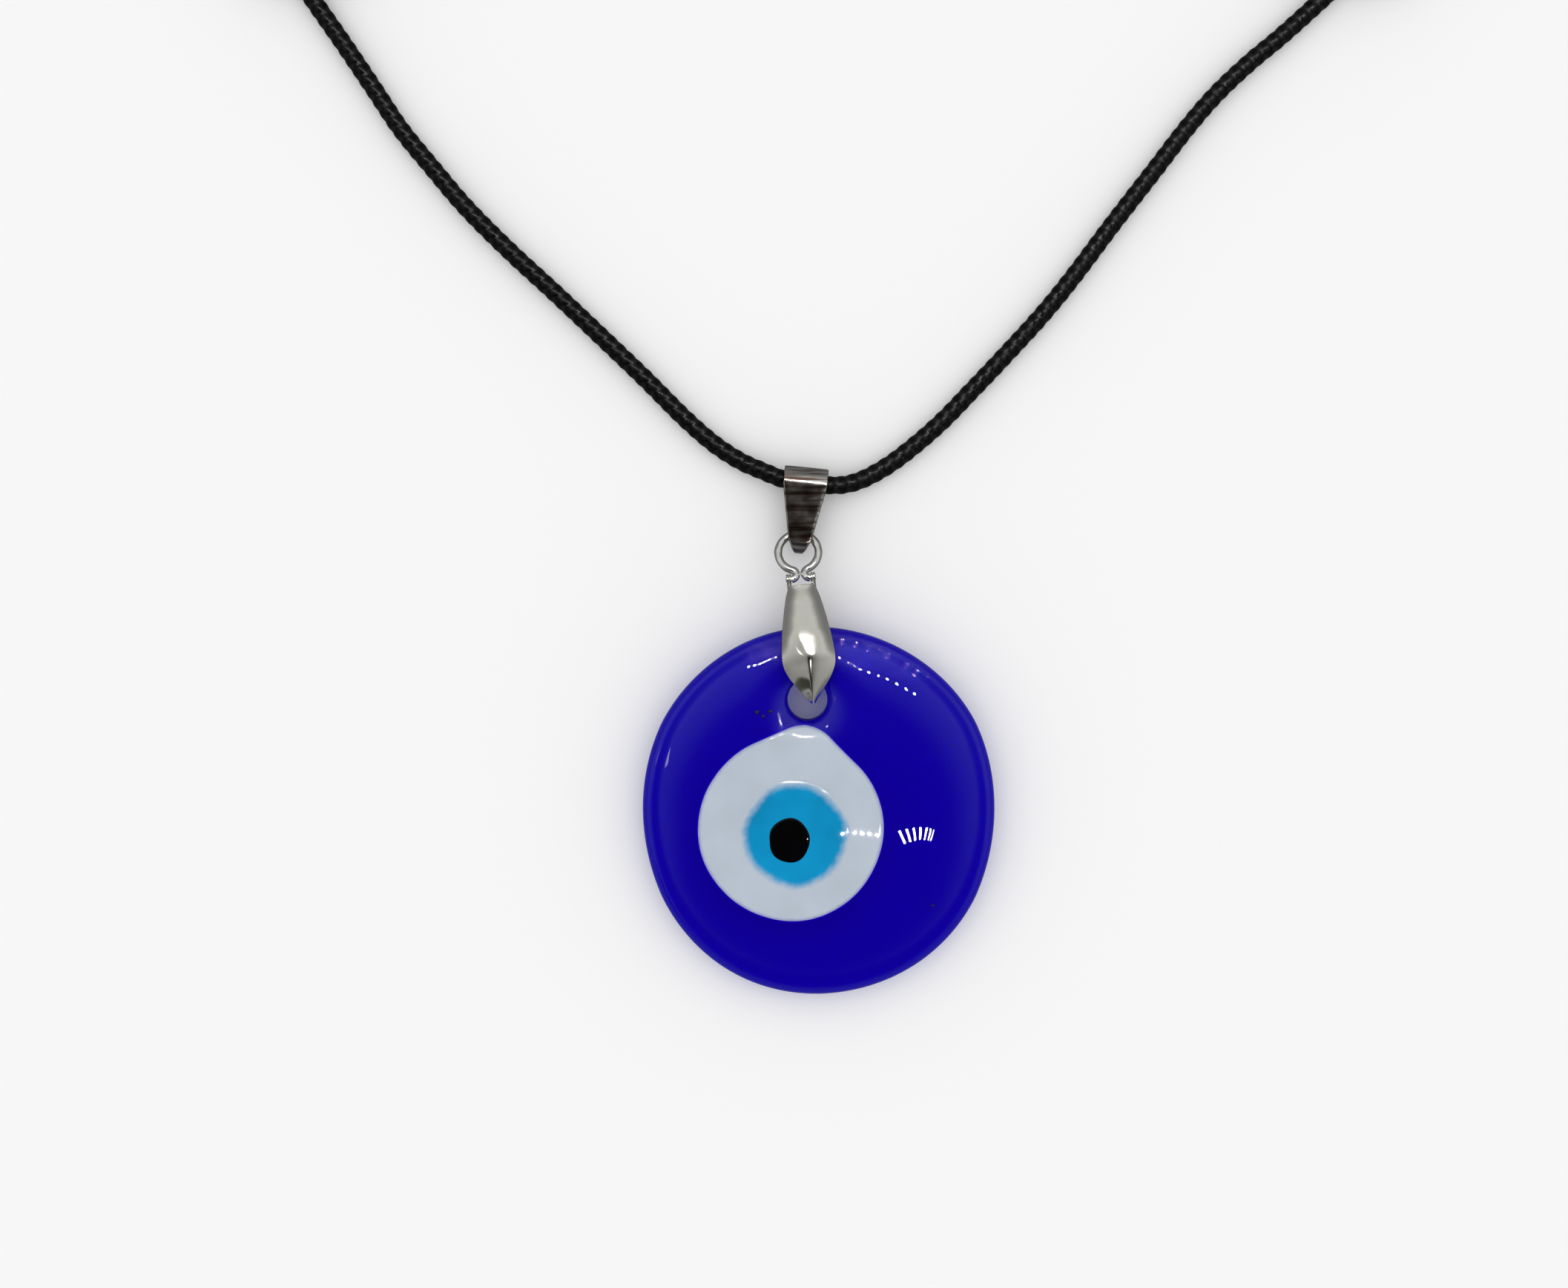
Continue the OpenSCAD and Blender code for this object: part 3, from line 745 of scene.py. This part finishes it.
# %% Specks of ash in the surface
ash, tree, shader = new_material("ash", {"Base Color": (0.004, 0.003, 0.01, 1)})
plug(shader, {"Roughness": spread(noise(object_place(tree), 4000, 3), 0.3, 0.7, 0.5, 0.9)})
speck_parts = []
for x, y, size in ((8.5, 14.6, 0.15), (15.0, 7.5, 0.13), (12.8, -10.5, 0.14),
                   (-6.9, 11.3, 0.27), (-6.2, 10.9, 0.24), (-5.5, 11.4, 0.26)):
    depth = front_height(x, y) - draw.uniform(0.5, 0.8) * size
    speck_parts.append(rounded_blob((x, y, depth), size, draw.uniform(1.0, 1.6), 0.3))
speck_points, speck_faces = join_parts(speck_parts)
make_piece("ash_specks", speck_points, speck_faces, ash, "eye", sharp=180)

# %% [markdown]
# ## The drops of the eye
# White, light blue and black glass are dropped on the hot disc and pressed in. Each drop is a grid that runs
# out from its middle to its outline: its face follows the dome, a hair above it, and its edge dips under the
# blue, which is what gives the soft lavender line round the white.

# %% A drop from its outline
edge_round, edge_undercut = 0.5, 0.9


def drop_piece(name, middle, outline, rise, edge_dip, floor_depth, material, node_name):
    """outline(angle) gives the distance from the middle to the edge."""
    columns, rows, edge_rows = 144, 26, 6
    angles = [tau * k / columns for k in range(columns)]
    reaches = [outline(angle) for angle in angles]
    points, distances = [], []
    for i in range(1, rows + 1):
        part = sin(pi / 2 * i / rows)
        for angle, reach in zip(angles, reaches):
            x, y = middle[0] + part * reach * cos(angle), middle[1] + part * reach * sin(angle)
            to_edge = (1 - part) * reach
            dip = edge_dip * (1 - smooth_step(to_edge / edge_round))
            points.append((x, y, front_height(x, y, rise) - dip))
            distances.append(to_edge)
    tops = [point[2] for point in points[-columns:]]
    for i in range(1, edge_rows + 1):
        turn = pi / 2 * i / edge_rows
        for angle, reach, top in zip(angles, reaches, tops):
            away = reach - edge_undercut * (1 - cos(turn))
            points.append((middle[0] + away * cos(angle), middle[1] + away * sin(angle),
                           top - floor_depth * sin(turn)))
            distances.append(0.0)
    centre = len(points)
    centre_height = front_height(*middle, rise)
    points += [(*middle, centre_height), (*middle, centre_height - floor_depth)]
    distances += [outline(0), 0.0]
    faces = grid_faces(rows + edge_rows, columns)
    last = (rows + edge_rows - 1) * columns
    for k in range(columns):
        k_next = (k + 1) % columns
        faces += [(centre, k_next, k), (centre + 1, last + k, last + k_next)]
    piece = make_piece(
        name, in_frame(disc_frame, points), faces, material, "eye", (node_name,), sharp=60)
    store(piece, "to_edge", distances)


# %% Outlines of the three drops
white_middle, white_radius = Vector((-3.15, -1.75)), 10.6
peak_middle, peak_radius = Vector((-1.75, 5.65)), 4.4


def white_outline(angle):
    """The farthest of the circles between the round drop and the blunt peak drawn up to the hole."""
    best, steps = 0, 60
    along = Vector((cos(angle), sin(angle)))
    for i in range(steps + 1):
        part = i / steps
        centre = white_middle.lerp(peak_middle, part) - white_middle
        radius = white_radius + (peak_radius - white_radius) * part
        across = centre.length_squared - centre.dot(along) ** 2
        if across < radius * radius:
            best = max(best, centre.dot(along) + sqrt(radius * radius - across))
    return best + 0.05 * sin(4 * angle + 0.6) + 0.012 * sin(9 * angle + 2)


def sky_outline(angle):
    return 6.3 + 0.1 * sin(4 * angle + 1) + 0.07 * sin(7 * angle)


def black_outline(angle):
    return 2.42 + 0.26 * abs(sin(angle)) ** 1.5 + 0.04 * sin(5 * angle + 1)


drop_piece("white_drop", white_middle, white_outline, 0.1, 0.16, 1.7, white_drop,
           "white_glass")
drop_piece("sky_drop", (-2.65, -2.45), sky_outline, 0.16, 0.1, 1.1, sky_drop,
           "iris_glass")
drop_piece("black_drop", (-3.3, -3.0), black_outline, 0.22, 0.08, 0.7, black_drop,
           "pupil_glass")

# %% [markdown]
# ## The leaf clip
# Two leaves are pressed from sheet. A leaf is an arch at its hinge and widens to a bulge. Below that it turns
# into a keel with a flat facet on each side, and ends in a point. Its edge is a rim that just clears the
# glass. The section changes from arch to roof along the leaf, so one formula in two directions makes it, and
# the inner side is the same formula again, lowered by the sheet's thickness.

# %% Sizes of a leaf
leaf_length, leaf_start = 14.0, 0.75
half_width, leaf_bulge, rim_rise = 2.925, 1.35, 2.612
hinge_gap, sheet_wall = 0.15, 0.3
width_curve = [(0, 0.51), (0.05, 0.58), (0.1, 0.66), (0.25, 0.81), (0.4, 0.93), (0.52, 0.99), (0.63, 1.02),
               (0.7, 0.97), (0.79, 0.77), (0.89, 0.44), (1, 0.06)]
rise_curve = [(0, 0), (0.1, 0.2), (0.25, 0.5), (0.4, 0.78), (0.6, 1), (1, 1)]
bulge_curve = [(0, 0.44), (0.1, 0.6), (0.25, 0.74), (0.4, 0.86), (0.6, 1), (0.68, 0.96), (0.79, 0.83),
               (0.89, 0.6), (1, 0.2)]


def soft(table, t, reach=0.03):
    """Reads a curve with its corners rounded."""
    samples = [between(table, min(1.0, max(0.0, t + reach * k / 3))) for k in range(-3, 4)]
    return sum(samples) / len(samples)


def leaf_point(part, across, lowered):
    """A point of the leaf's sheet: part runs to the tip, across runs from -1 to 1."""
    keel = smooth_step((part - 0.42) / 0.26)
    width = soft(width_curve, part) * half_width
    height = soft(bulge_curve, part) * leaf_bulge
    base = hinge_gap + soft(rise_curve, part) * (rim_rise - hinge_gap)
    crown = 1 - abs(across) ** (2.5 - 1.35 * keel)
    lean = 0.3 * keel * (1 - abs(across)) * across
    thin = max(0.25, 1 - lowered / width)
    return Vector((
        width * thin * across,
        -(leaf_start + part * (leaf_length - leaf_start)),
        base + max(0.1, height - lowered) * (crown + lean) + (0 if lowered else 0.02),
    ))


def leaf_sheet(rows=72, half=22):
    """Outer and inner side of the sheet as one closed band of points."""
    across = [sin(pi / 2 * k / half) for k in range(-half, half + 1)]
    points = []
    for i in range(rows + 1):
        points += [leaf_point(i / rows, a, 0) for a in across]
        points += [leaf_point(i / rows, a, sheet_wall) for a in reversed(across)]
    count = 2 * len(across)
    faces = grid_faces(rows + 1, count)
    for start in (0, rows * count):
        for k in range(2 * half):
            faces.append((start + k, start + k + 1, start + count - 2 - k, start + count - 1 - k))
    return points, faces


# %% [markdown]
# ### Ears and feet
# The ring's wire ends in two feet that stick out sideways. Each leaf has two ears with a hole, and they turn
# on those feet. So the wire's bends decide where the ears stand, and their sizes come first.

# %% Ears that hold the wire's feet
ring_radius, wire_radius, turn_radius = 2.28, 0.44, 0.55
neck_angle = asin((turn_radius + wire_radius + 0.03) / (ring_radius + turn_radius))
turn_x = (ring_radius + turn_radius) * sin(neck_angle)
ear_x, ear_thick, ear_gap = turn_x + 0.07, 0.25, 0.04
ear_reach, foot_hole, ear_edge = 0.58, 0.34, 0.05


def ear(hand, inner_x, steps=40):
    """A small rounded plate with a hole, and a tail that runs into the leaf."""
    outline = []
    for y, z in circle(1, steps):
        tail = max(0.0, -y) ** 6
        outline.append(((ear_reach + 1.3 * tail) * y, ear_reach * z * (1 - 0.2 * tail) + 0.45 * tail))
    hole = circle(foot_hole, steps)
    outer_x = inner_x + ear_thick
    rings = (
        (inner_x + ear_edge, outline, 1.0), (inner_x, outline, 0.93), (inner_x, hole, 1.08),
        (inner_x + ear_edge, hole, 1.0), (outer_x - ear_edge, hole, 1.0), (outer_x, hole, 1.08),
        (outer_x, outline, 0.93), (outer_x - ear_edge, outline, 1.0),
    )
    points = [Vector((hand * x, y * pull, z * pull)) for x, ring, pull in rings for y, z in ring]
    return points, grid_faces(len(rings), steps, True)


def leaf_piece(name, body, node_name, side, ear_from):
    """side is 1 for the front leaf and -1 for the back one."""
    points, faces = join_parts([leaf_sheet(), ear(-1, ear_from), ear(1, ear_from)])
    placed = in_frame(clip_frame, [(p.x, p.y, side * p.z) for p in points])
    make_piece(name, placed, faces, leaf_plate, body, (node_name,), sharp=50)


leaf_piece("front_leaf", "clip_front", "clip_front_leaf", 1, ear_x)
leaf_piece("back_leaf", "clip_back", "clip_back_leaf", -1, ear_x + ear_thick + ear_gap)

# %% [markdown]
# ## Posts
# Two short pegs are soldered inside the leaves and meet in the hole. Each one is a turned shape with a foot
# of solder and a rounded end.

# %% A turned piece, and the posts in the hole
def turned_piece(name, profile, place, material, body, node_name):
    points, faces = lathe(profile, 32)
    return make_piece(name, in_frame(place, points), faces, material, body, (node_name,))


upright = Matrix.Rotation(-pi / 2, 4, "Y")
post_low, post_high, post_radius, post_y = 0.28, 3.1, 0.68, -12.5
post_profile = [
    (post_low, 0.0), (post_low + 0.02, 0.3), (post_low + 0.1, 0.52), (post_low + 0.28, post_radius),
    (post_high - 0.6, post_radius), (post_high - 0.3, post_radius + 0.02), (post_high - 0.12, post_radius),
    (post_high, 0.5), (post_high, 0.0)]
post_place = clip_frame @ Matrix.Translation((0, post_y * MM, 0))
turned_piece("front_post", post_profile, post_place @ upright, fitting_plate, "clip_front",
             "clip_front_post")
turned_piece("back_post", post_profile, post_place @ upright.inverted(), fitting_plate, "clip_back",
             "clip_back_post")

# %% [markdown]
# ## The wire ring
# One piece of wire is bent round and its ends are turned outwards, so that it looks like a horseshoe with
# feet. The two ends nearly touch at the neck. A wire is a circle carried along a path, and a slow change of
# its radius gives the look of wire that was bent with pliers.

# %% Bend the ring
ring_y = turn_radius + (ring_radius + turn_radius) * cos(neck_angle)
neck_degrees = degrees(neck_angle)


def ring_path():
    right = arc(turn_radius, (turn_x, turn_radius), 270, 90 + neck_degrees, 14)
    left = [(-x, y) for x, y in reversed(right)]
    round_part = arc(ring_radius, (0, ring_y), neck_degrees - 90, 270 - neck_degrees, 84)
    return [Vector((x, y, 0)) for x, y in right + round_part[1:-1] + left]


def wire_section(i):
    return circle(wire_radius + 0.012 * sin(0.35 * i) + 0.008 * sin(0.83 * i + 1), 20)


foot_end = ear_x + 0.62
foot_profile = [(turn_x - 0.3, 0.0), (turn_x - 0.28, 0.28), (foot_end - 0.1, 0.29), (foot_end - 0.03, 0.25),
                (foot_end, 0.16), (foot_end, 0.0)]
ring_points, ring_faces = join_parts([
    sweep(ring_path(), wire_section, UP), lathe(foot_profile, 24),
    lathe(foot_profile, 24, Matrix.Rotation(pi, 4, "Z")),
])
make_piece("wire_ring", in_frame(ring_frame, ring_points), ring_faces, ring_plate, "ring",
           ("hanger_ring",))

# %% [markdown]
# ## The bail
# A tapered strip is folded over the cord, and its two ends meet under the ring's wire. The strip is a
# rectangle with rounded edges, carried round a drop-shaped loop. Its width follows the height in the loop, so
# that the strip narrows to a tongue at the fold.

# %% Fold the bail
cord_room, strip_wall, fold_radius, bail_drop = 1.5, 0.5, 0.9, 7.8
fold_y = bail_drop - strip_wall - fold_radius
strip_half = [(-2.0, 2.5), (0, 2.5), (6.24, 1.3), (7.18, 0.8), (7.55, 0.52), (8, 0.42)]
corner = [(1.0, -0.35), (1.0, 0.35), (0.985, 0.75), (0.95, 0.95), (0.9, 1.0)]
crown = [(k / 6 * 0.9, 1.0 + 0.06 * (1 - (k / 6) ** 2)) for k in range(5, -6, -1)]
strip_section = corner + crown + [(-w, t) for w, t in reversed(corner)]
strip_section += [(-w, -t) for w, t in corner[2:]] + [(k / 3 * 0.9, -1.0) for k in range(-2, 3)]
strip_section += [(w, -t) for w, t in reversed(corner[2:])]


def straight(start, end, steps=26):
    """The points between two points, without the two."""
    return [(start[0] + (end[0] - start[0]) * i / steps, start[1] + (end[1] - start[1]) * i / steps)
            for i in range(1, steps)]


def bail_loop():
    """The middle of the strip, as (out of the bail, up along it) pairs."""
    top_r, low_r = cord_room + strip_wall / 2, fold_radius + strip_wall / 2
    taper = degrees(asin((top_r - low_r) / fold_y))
    top = arc(top_r, (0, 0), -taper, 180 + taper, 56)
    low = arc(low_r, (0, -fold_y), 180 + taper, 360 - taper, 40)
    return top + straight(top[-1], low[0]) + low + straight(low[-1], top[0])


def bail_points(path):
    """The section at each point of the path. Its corners keep their size where the strip gets narrow."""
    points = []
    for i, (z, y) in enumerate(path):
        before, after = path[i - 1], path[(i + 1) % len(path)]
        along = Vector((after[0] - before[0], after[1] - before[1])).normalized()
        half = between(strip_half, -y)
        for w, t in strip_section:
            in_corner = abs(w) > 0.89
            across = copysign(half - (1 - abs(w)) * 1.4, w) if in_corner else w * half
            lift = t * strip_wall / 2
            points.append((across, y - along.x * lift, z + along.y * lift))
    return points


loop = bail_loop()
make_piece("folded_bail", in_frame(bail_frame, bail_points(loop)),
           grid_faces(len(loop), len(strip_section), True), bail_plate, "bail",
           ("bail",), sharp=50)

# %% [markdown]
# ## End caps
# The cord's ends are glued into small turned caps. Each cap has a rolled lip, two pressed grooves that grip
# the cord, and a wire eye on its closed end.

# %% Turn the end caps
cap_length, eye_radius, eye_wire, eye_gap = 7.0, 1.1, 0.3, 0.3
cap_profile = [(3.95, 0.0), (3.95, 1.04), (0.25, 1.06), (0.02, 1.1), (0.0, 1.3), (0.08, 1.5), (0.3, 1.59),
               (0.55, 1.5), (0.7, 1.44)]
for groove in (1.7, 2.8):
    cap_profile += [(groove - 0.3, 1.46), (groove - 0.15, 1.36), (groove, 1.3), (groove + 0.15, 1.36),
                    (groove + 0.3, 1.46)]
cap_profile += [(4.2, 1.47), (5.6, 1.45), (6.3, 1.32), (6.75, 1.0), (6.95, 0.6), (cap_length, 0.0)]
eye_middle = (cap_length + eye_radius + eye_gap, 0)
eye_path = [Vector((x, 0, z)) for x, z in arc(eye_radius, eye_middle, 0, 360, 48)]


def cap_piece(name, node_name, mouth):
    eye = sweep(eye_path, lambda i: circle(eye_wire, 16), Vector((0, 1, 0)), capped=False)
    points, faces = join_parts([lathe(cap_profile, 48), eye])
    return make_piece(
        name, in_frame(mouth, points), faces, fitting_plate, "cord", (node_name,))


cap_height = 1.6 * MM
left_box, right_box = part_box("end_cap_left"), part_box("end_cap_right")
left_mouth = Matrix.Translation((left_box[0].x, joint_point("clasp_ring_swing").y, cap_height))
right_mouth = Matrix.Translation((right_box[1].x, joint_point("extender_swing").y, cap_height))
left_cap = cap_piece("left_end_cap", "end_cap_left", left_mouth)
right_cap = cap_piece("right_end_cap", "end_cap_right", right_mouth @ Matrix.Rotation(pi, 4, "Z"))

# %% [markdown]
# ## Clasp and chain
# The clasp's parts are exact as they are, but a cast part has no sharp edges. A bevel rounds them: the shape
# is copied, its flat faces are joined, and only the edges between faces at an angle are cut back.

# %% Soften a cast part
def softened(name, node_name, body, material, width):
    mesh = frame["nodes"][node_name].data.copy()
    work = bmesh.new()
    work.from_mesh(mesh)
    bmesh.ops.remove_doubles(work, verts=work.verts, dist=2e-6)
    bmesh.ops.dissolve_limit(work, angle_limit=radians(1), verts=work.verts, edges=work.edges)
    work.to_mesh(mesh)
    work.free()
    mesh.materials.clear()
    mesh.materials.append(material)
    piece = bpy.data.objects.new(name, mesh)
    scene.collection.objects.link(piece)
    bevel = piece.modifiers.new("round_edges", "BEVEL")
    bevel.width = width * MM
    bevel.segments = 3
    bevel.limit_method = "ANGLE"
    bevel.angle_limit = radians(40)
    shown = bpy.data.meshes.new_from_object(piece.evaluated_get(bpy.context.evaluated_depsgraph_get()))
    piece.modifiers.clear()
    piece.data = shown
    return finish_piece(piece, body, (node_name,), 40)


clasp_hook = softened("clasp_hook", "clasp_body", "clasp", fitting_plate, 0.22)
clasp_thumb = softened("clasp_thumb_lever", "clasp_lever", "lever", fitting_plate, 0.1)

# %% Rivet and drop as turned parts
rivet_low, rivet_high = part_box("clasp_rivet")
rivet_height = (rivet_high.z - rivet_low.z) / MM
rivet_middle = (rivet_low + rivet_high) / 2
rivet = turned_piece(
    "domed_rivet",
    [(0, 0), (0, 0.3), (0.05, 0.42), (0.12, 0.42), (0.14, 0.345), (rivet_height - 0.14, 0.345),
     (rivet_height - 0.12, 0.42), (rivet_height - 0.05, 0.42), (rivet_height, 0.3), (rivet_height, 0)],
    Matrix.Translation((rivet_middle.x, rivet_middle.y, rivet_low.z)) @ upright, ring_plate, "clasp",
    "clasp_rivet")
drop_low, drop_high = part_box("extender_drop")
ball_radius = 1.5
ball = [(-ball_radius * cos(pi * i / 16), ball_radius * sin(pi * i / 16))
        for i in range(14)]
drop = turned_piece(
    "ball_drop", ball + [(1.32, 0.62), (1.4, 0.66), (1.5, 0.6), (1.52, 0)],
    Matrix.Translation((drop_low + drop_high) / 2), fitting_plate, "extender",
    "extender_drop")

# %% Finish for the nodes that stay as they are
kept_nodes = [frame["nodes"][name] for name in ("clasp_ring", "clasp_spring", "extender_chain")]
for part in kept_nodes:
    part.data.materials.clear()
    part.data.materials.append(ring_plate)
    print(part.name, "keeps its shape")

# %% [markdown]
# ## Table and light
# The table is a plain pale sheet. A white sky lights it evenly from all round, which keeps shadows soft. What
# glass and metal mirror is another matter: the sky that they see is dark above, a little towards the near
# side, and bright low down, so the blue glass stays deep and the metal gets its contrast. The light path
# tells which of the two a ray sees: it asks whether the ray came from a mirror.

# %% Table
def mirrored(tree):
    return node(tree, "LightPath").outputs["Is Glossy Ray"]


table_material, tree, shader = new_material("table", {"Roughness": 0.9, "Specular IOR Level": 0.0})
# In mirrors the pale table is painted dark grey: a painted reflection of shade, so the edges of the metal go
# dark.
plug(shader, {"Base Color": mix(mirrored(tree), (0.93, 0.93, 0.93, 1), (0.2, 0.2, 0.2, 1))})
bend_surface(shader, noise(object_place(tree), 300, 3), 0.02 * MM, 0.3)
bpy.ops.mesh.primitive_plane_add(size=6, location=(0, 0, -0.05 * MM))
table = bpy.context.object
table.name = "table"
table.data.materials.append(table_material)

# %% Sky
world = bpy.data.worlds.new("studio")
scene.world = world
world.use_nodes = True
tree = world.node_tree
direction = node(tree, "TexCoord").outputs["Generated"]
darkest = (0, -0.3, 0.954)
lifted = node(tree, "VectorMath", {0: direction, 1: darkest}, operation="DOT_PRODUCT").outputs["Value"]
ramp = node(tree, "ValToRGB", {"Fac": spread(lifted, -1, 1)})
stops = ramp.color_ramp.elements
stops[0].position, stops[0].color = 0.5, (0.2, 0.2, 0.2, 1)
stops[1].position, stops[1].color = 0.98, (0.012, 0.007, 0.006, 1)
for position, level in ((0.6, 0.3), (0.7, 0.62), (0.84, 0.52), (0.91, 0.28), (0.95, 0.05)):
    stops.new(position).color = (level, level, level * 0.96, 1)
far_side = node(tree, "SeparateXYZ", {0: direction}).outputs["Y"]
shaded = node(tree, "VectorMath", {
    0: ramp.outputs["Color"], "Scale": spread(far_side, -0.7, 0.2, 0.4, 1.0),
}, operation="SCALE").outputs[0]
plug(tree.nodes["Background"], {
    "Color": mix(mirrored(tree), (1, 1, 1, 1), shaded), "Strength": 1.0})

# %% [markdown]
# ### Lamps and cards
# A row of small lamps on the far side gives the string of bright dots on the glass, the white band on the
# bail and the flash on the leaf. A shorter row and a small fan of bars stand on the near right. A pale card
# on the left gives the glass a soft streak, and a dark one puts a green patch on the leaf. All of them only
# show in what mirrors them.

# %% Rows of small lamps, and two cards
def lamp_row(name, quads, strength, colour=(0, 0, 0, 1)):
    """Small rectangles that glow: each is (middle, half width, half depth, turn)."""
    points, faces = [], []
    for middle, half_w, half_d, turn in quads:
        start = len(points)
        c, s = cos(turn), sin(turn)
        for x, y in ((-half_w, -half_d), (half_w, -half_d), (half_w, half_d), (-half_w, half_d)):
            points.append((middle[0] + x * c - y * s, middle[1] + x * s + y * c, middle[2]))
        faces.append(tuple(range(start, start + 4)))
    mesh = bpy.data.meshes.new(name)
    mesh.from_pydata(points, [], faces)
    mesh.materials.append(new_material(name, {
        "Base Color": colour, "Emission Color": (1, 0.98, 0.95, 1), "Emission Strength": strength})[0])
    lamps = bpy.data.objects.new(name, mesh)
    scene.collection.objects.link(lamps)
    lamps.visible_camera = lamps.visible_diffuse = lamps.visible_transmission = lamps.visible_shadow = False


lamp_height = 0.5
far_start, far_end = Vector((-0.165, 0.25, lamp_height)), Vector((0.205, 0.15, lamp_height))
far_count, near_count, fan_count = 19, 6, 7
near_start, near_step, near_y = 0.036, 0.0076, -0.0995
fan_start, fan_step, fan_y, fan_bow = 0.102, 0.0082, -0.0985, 0.005
lamp_row("far_lamps", [
    (far_start.lerp(far_end, i / (far_count - 1)), 0.0019, 0.003, 0) for i in range(far_count)], 1400)
lamp_row("near_lamps", [
    ((near_start + near_step * i, near_y, lamp_height), 0.0012, 0.0014, 0) for i in range(near_count)], 200)
lamp_row("lamp_fan", [
    ((fan_start + fan_step * i, fan_y + fan_bow * sin(pi * i / (fan_count - 1)), lamp_height),
     0.0014, 0.0085, 0.4 - 0.13 * i) for i in range(fan_count)], 140)
lamp_row("side_card", [((-0.33, 0.03, 0.4), 0.012, 0.022, 0.3)], 6.0)
lamp_row("dark_card", [((-0.3, -0.22, 0.15), 0.1, 0.1, 0)], 0.0, (0.03, 0.035, 0.012, 1))
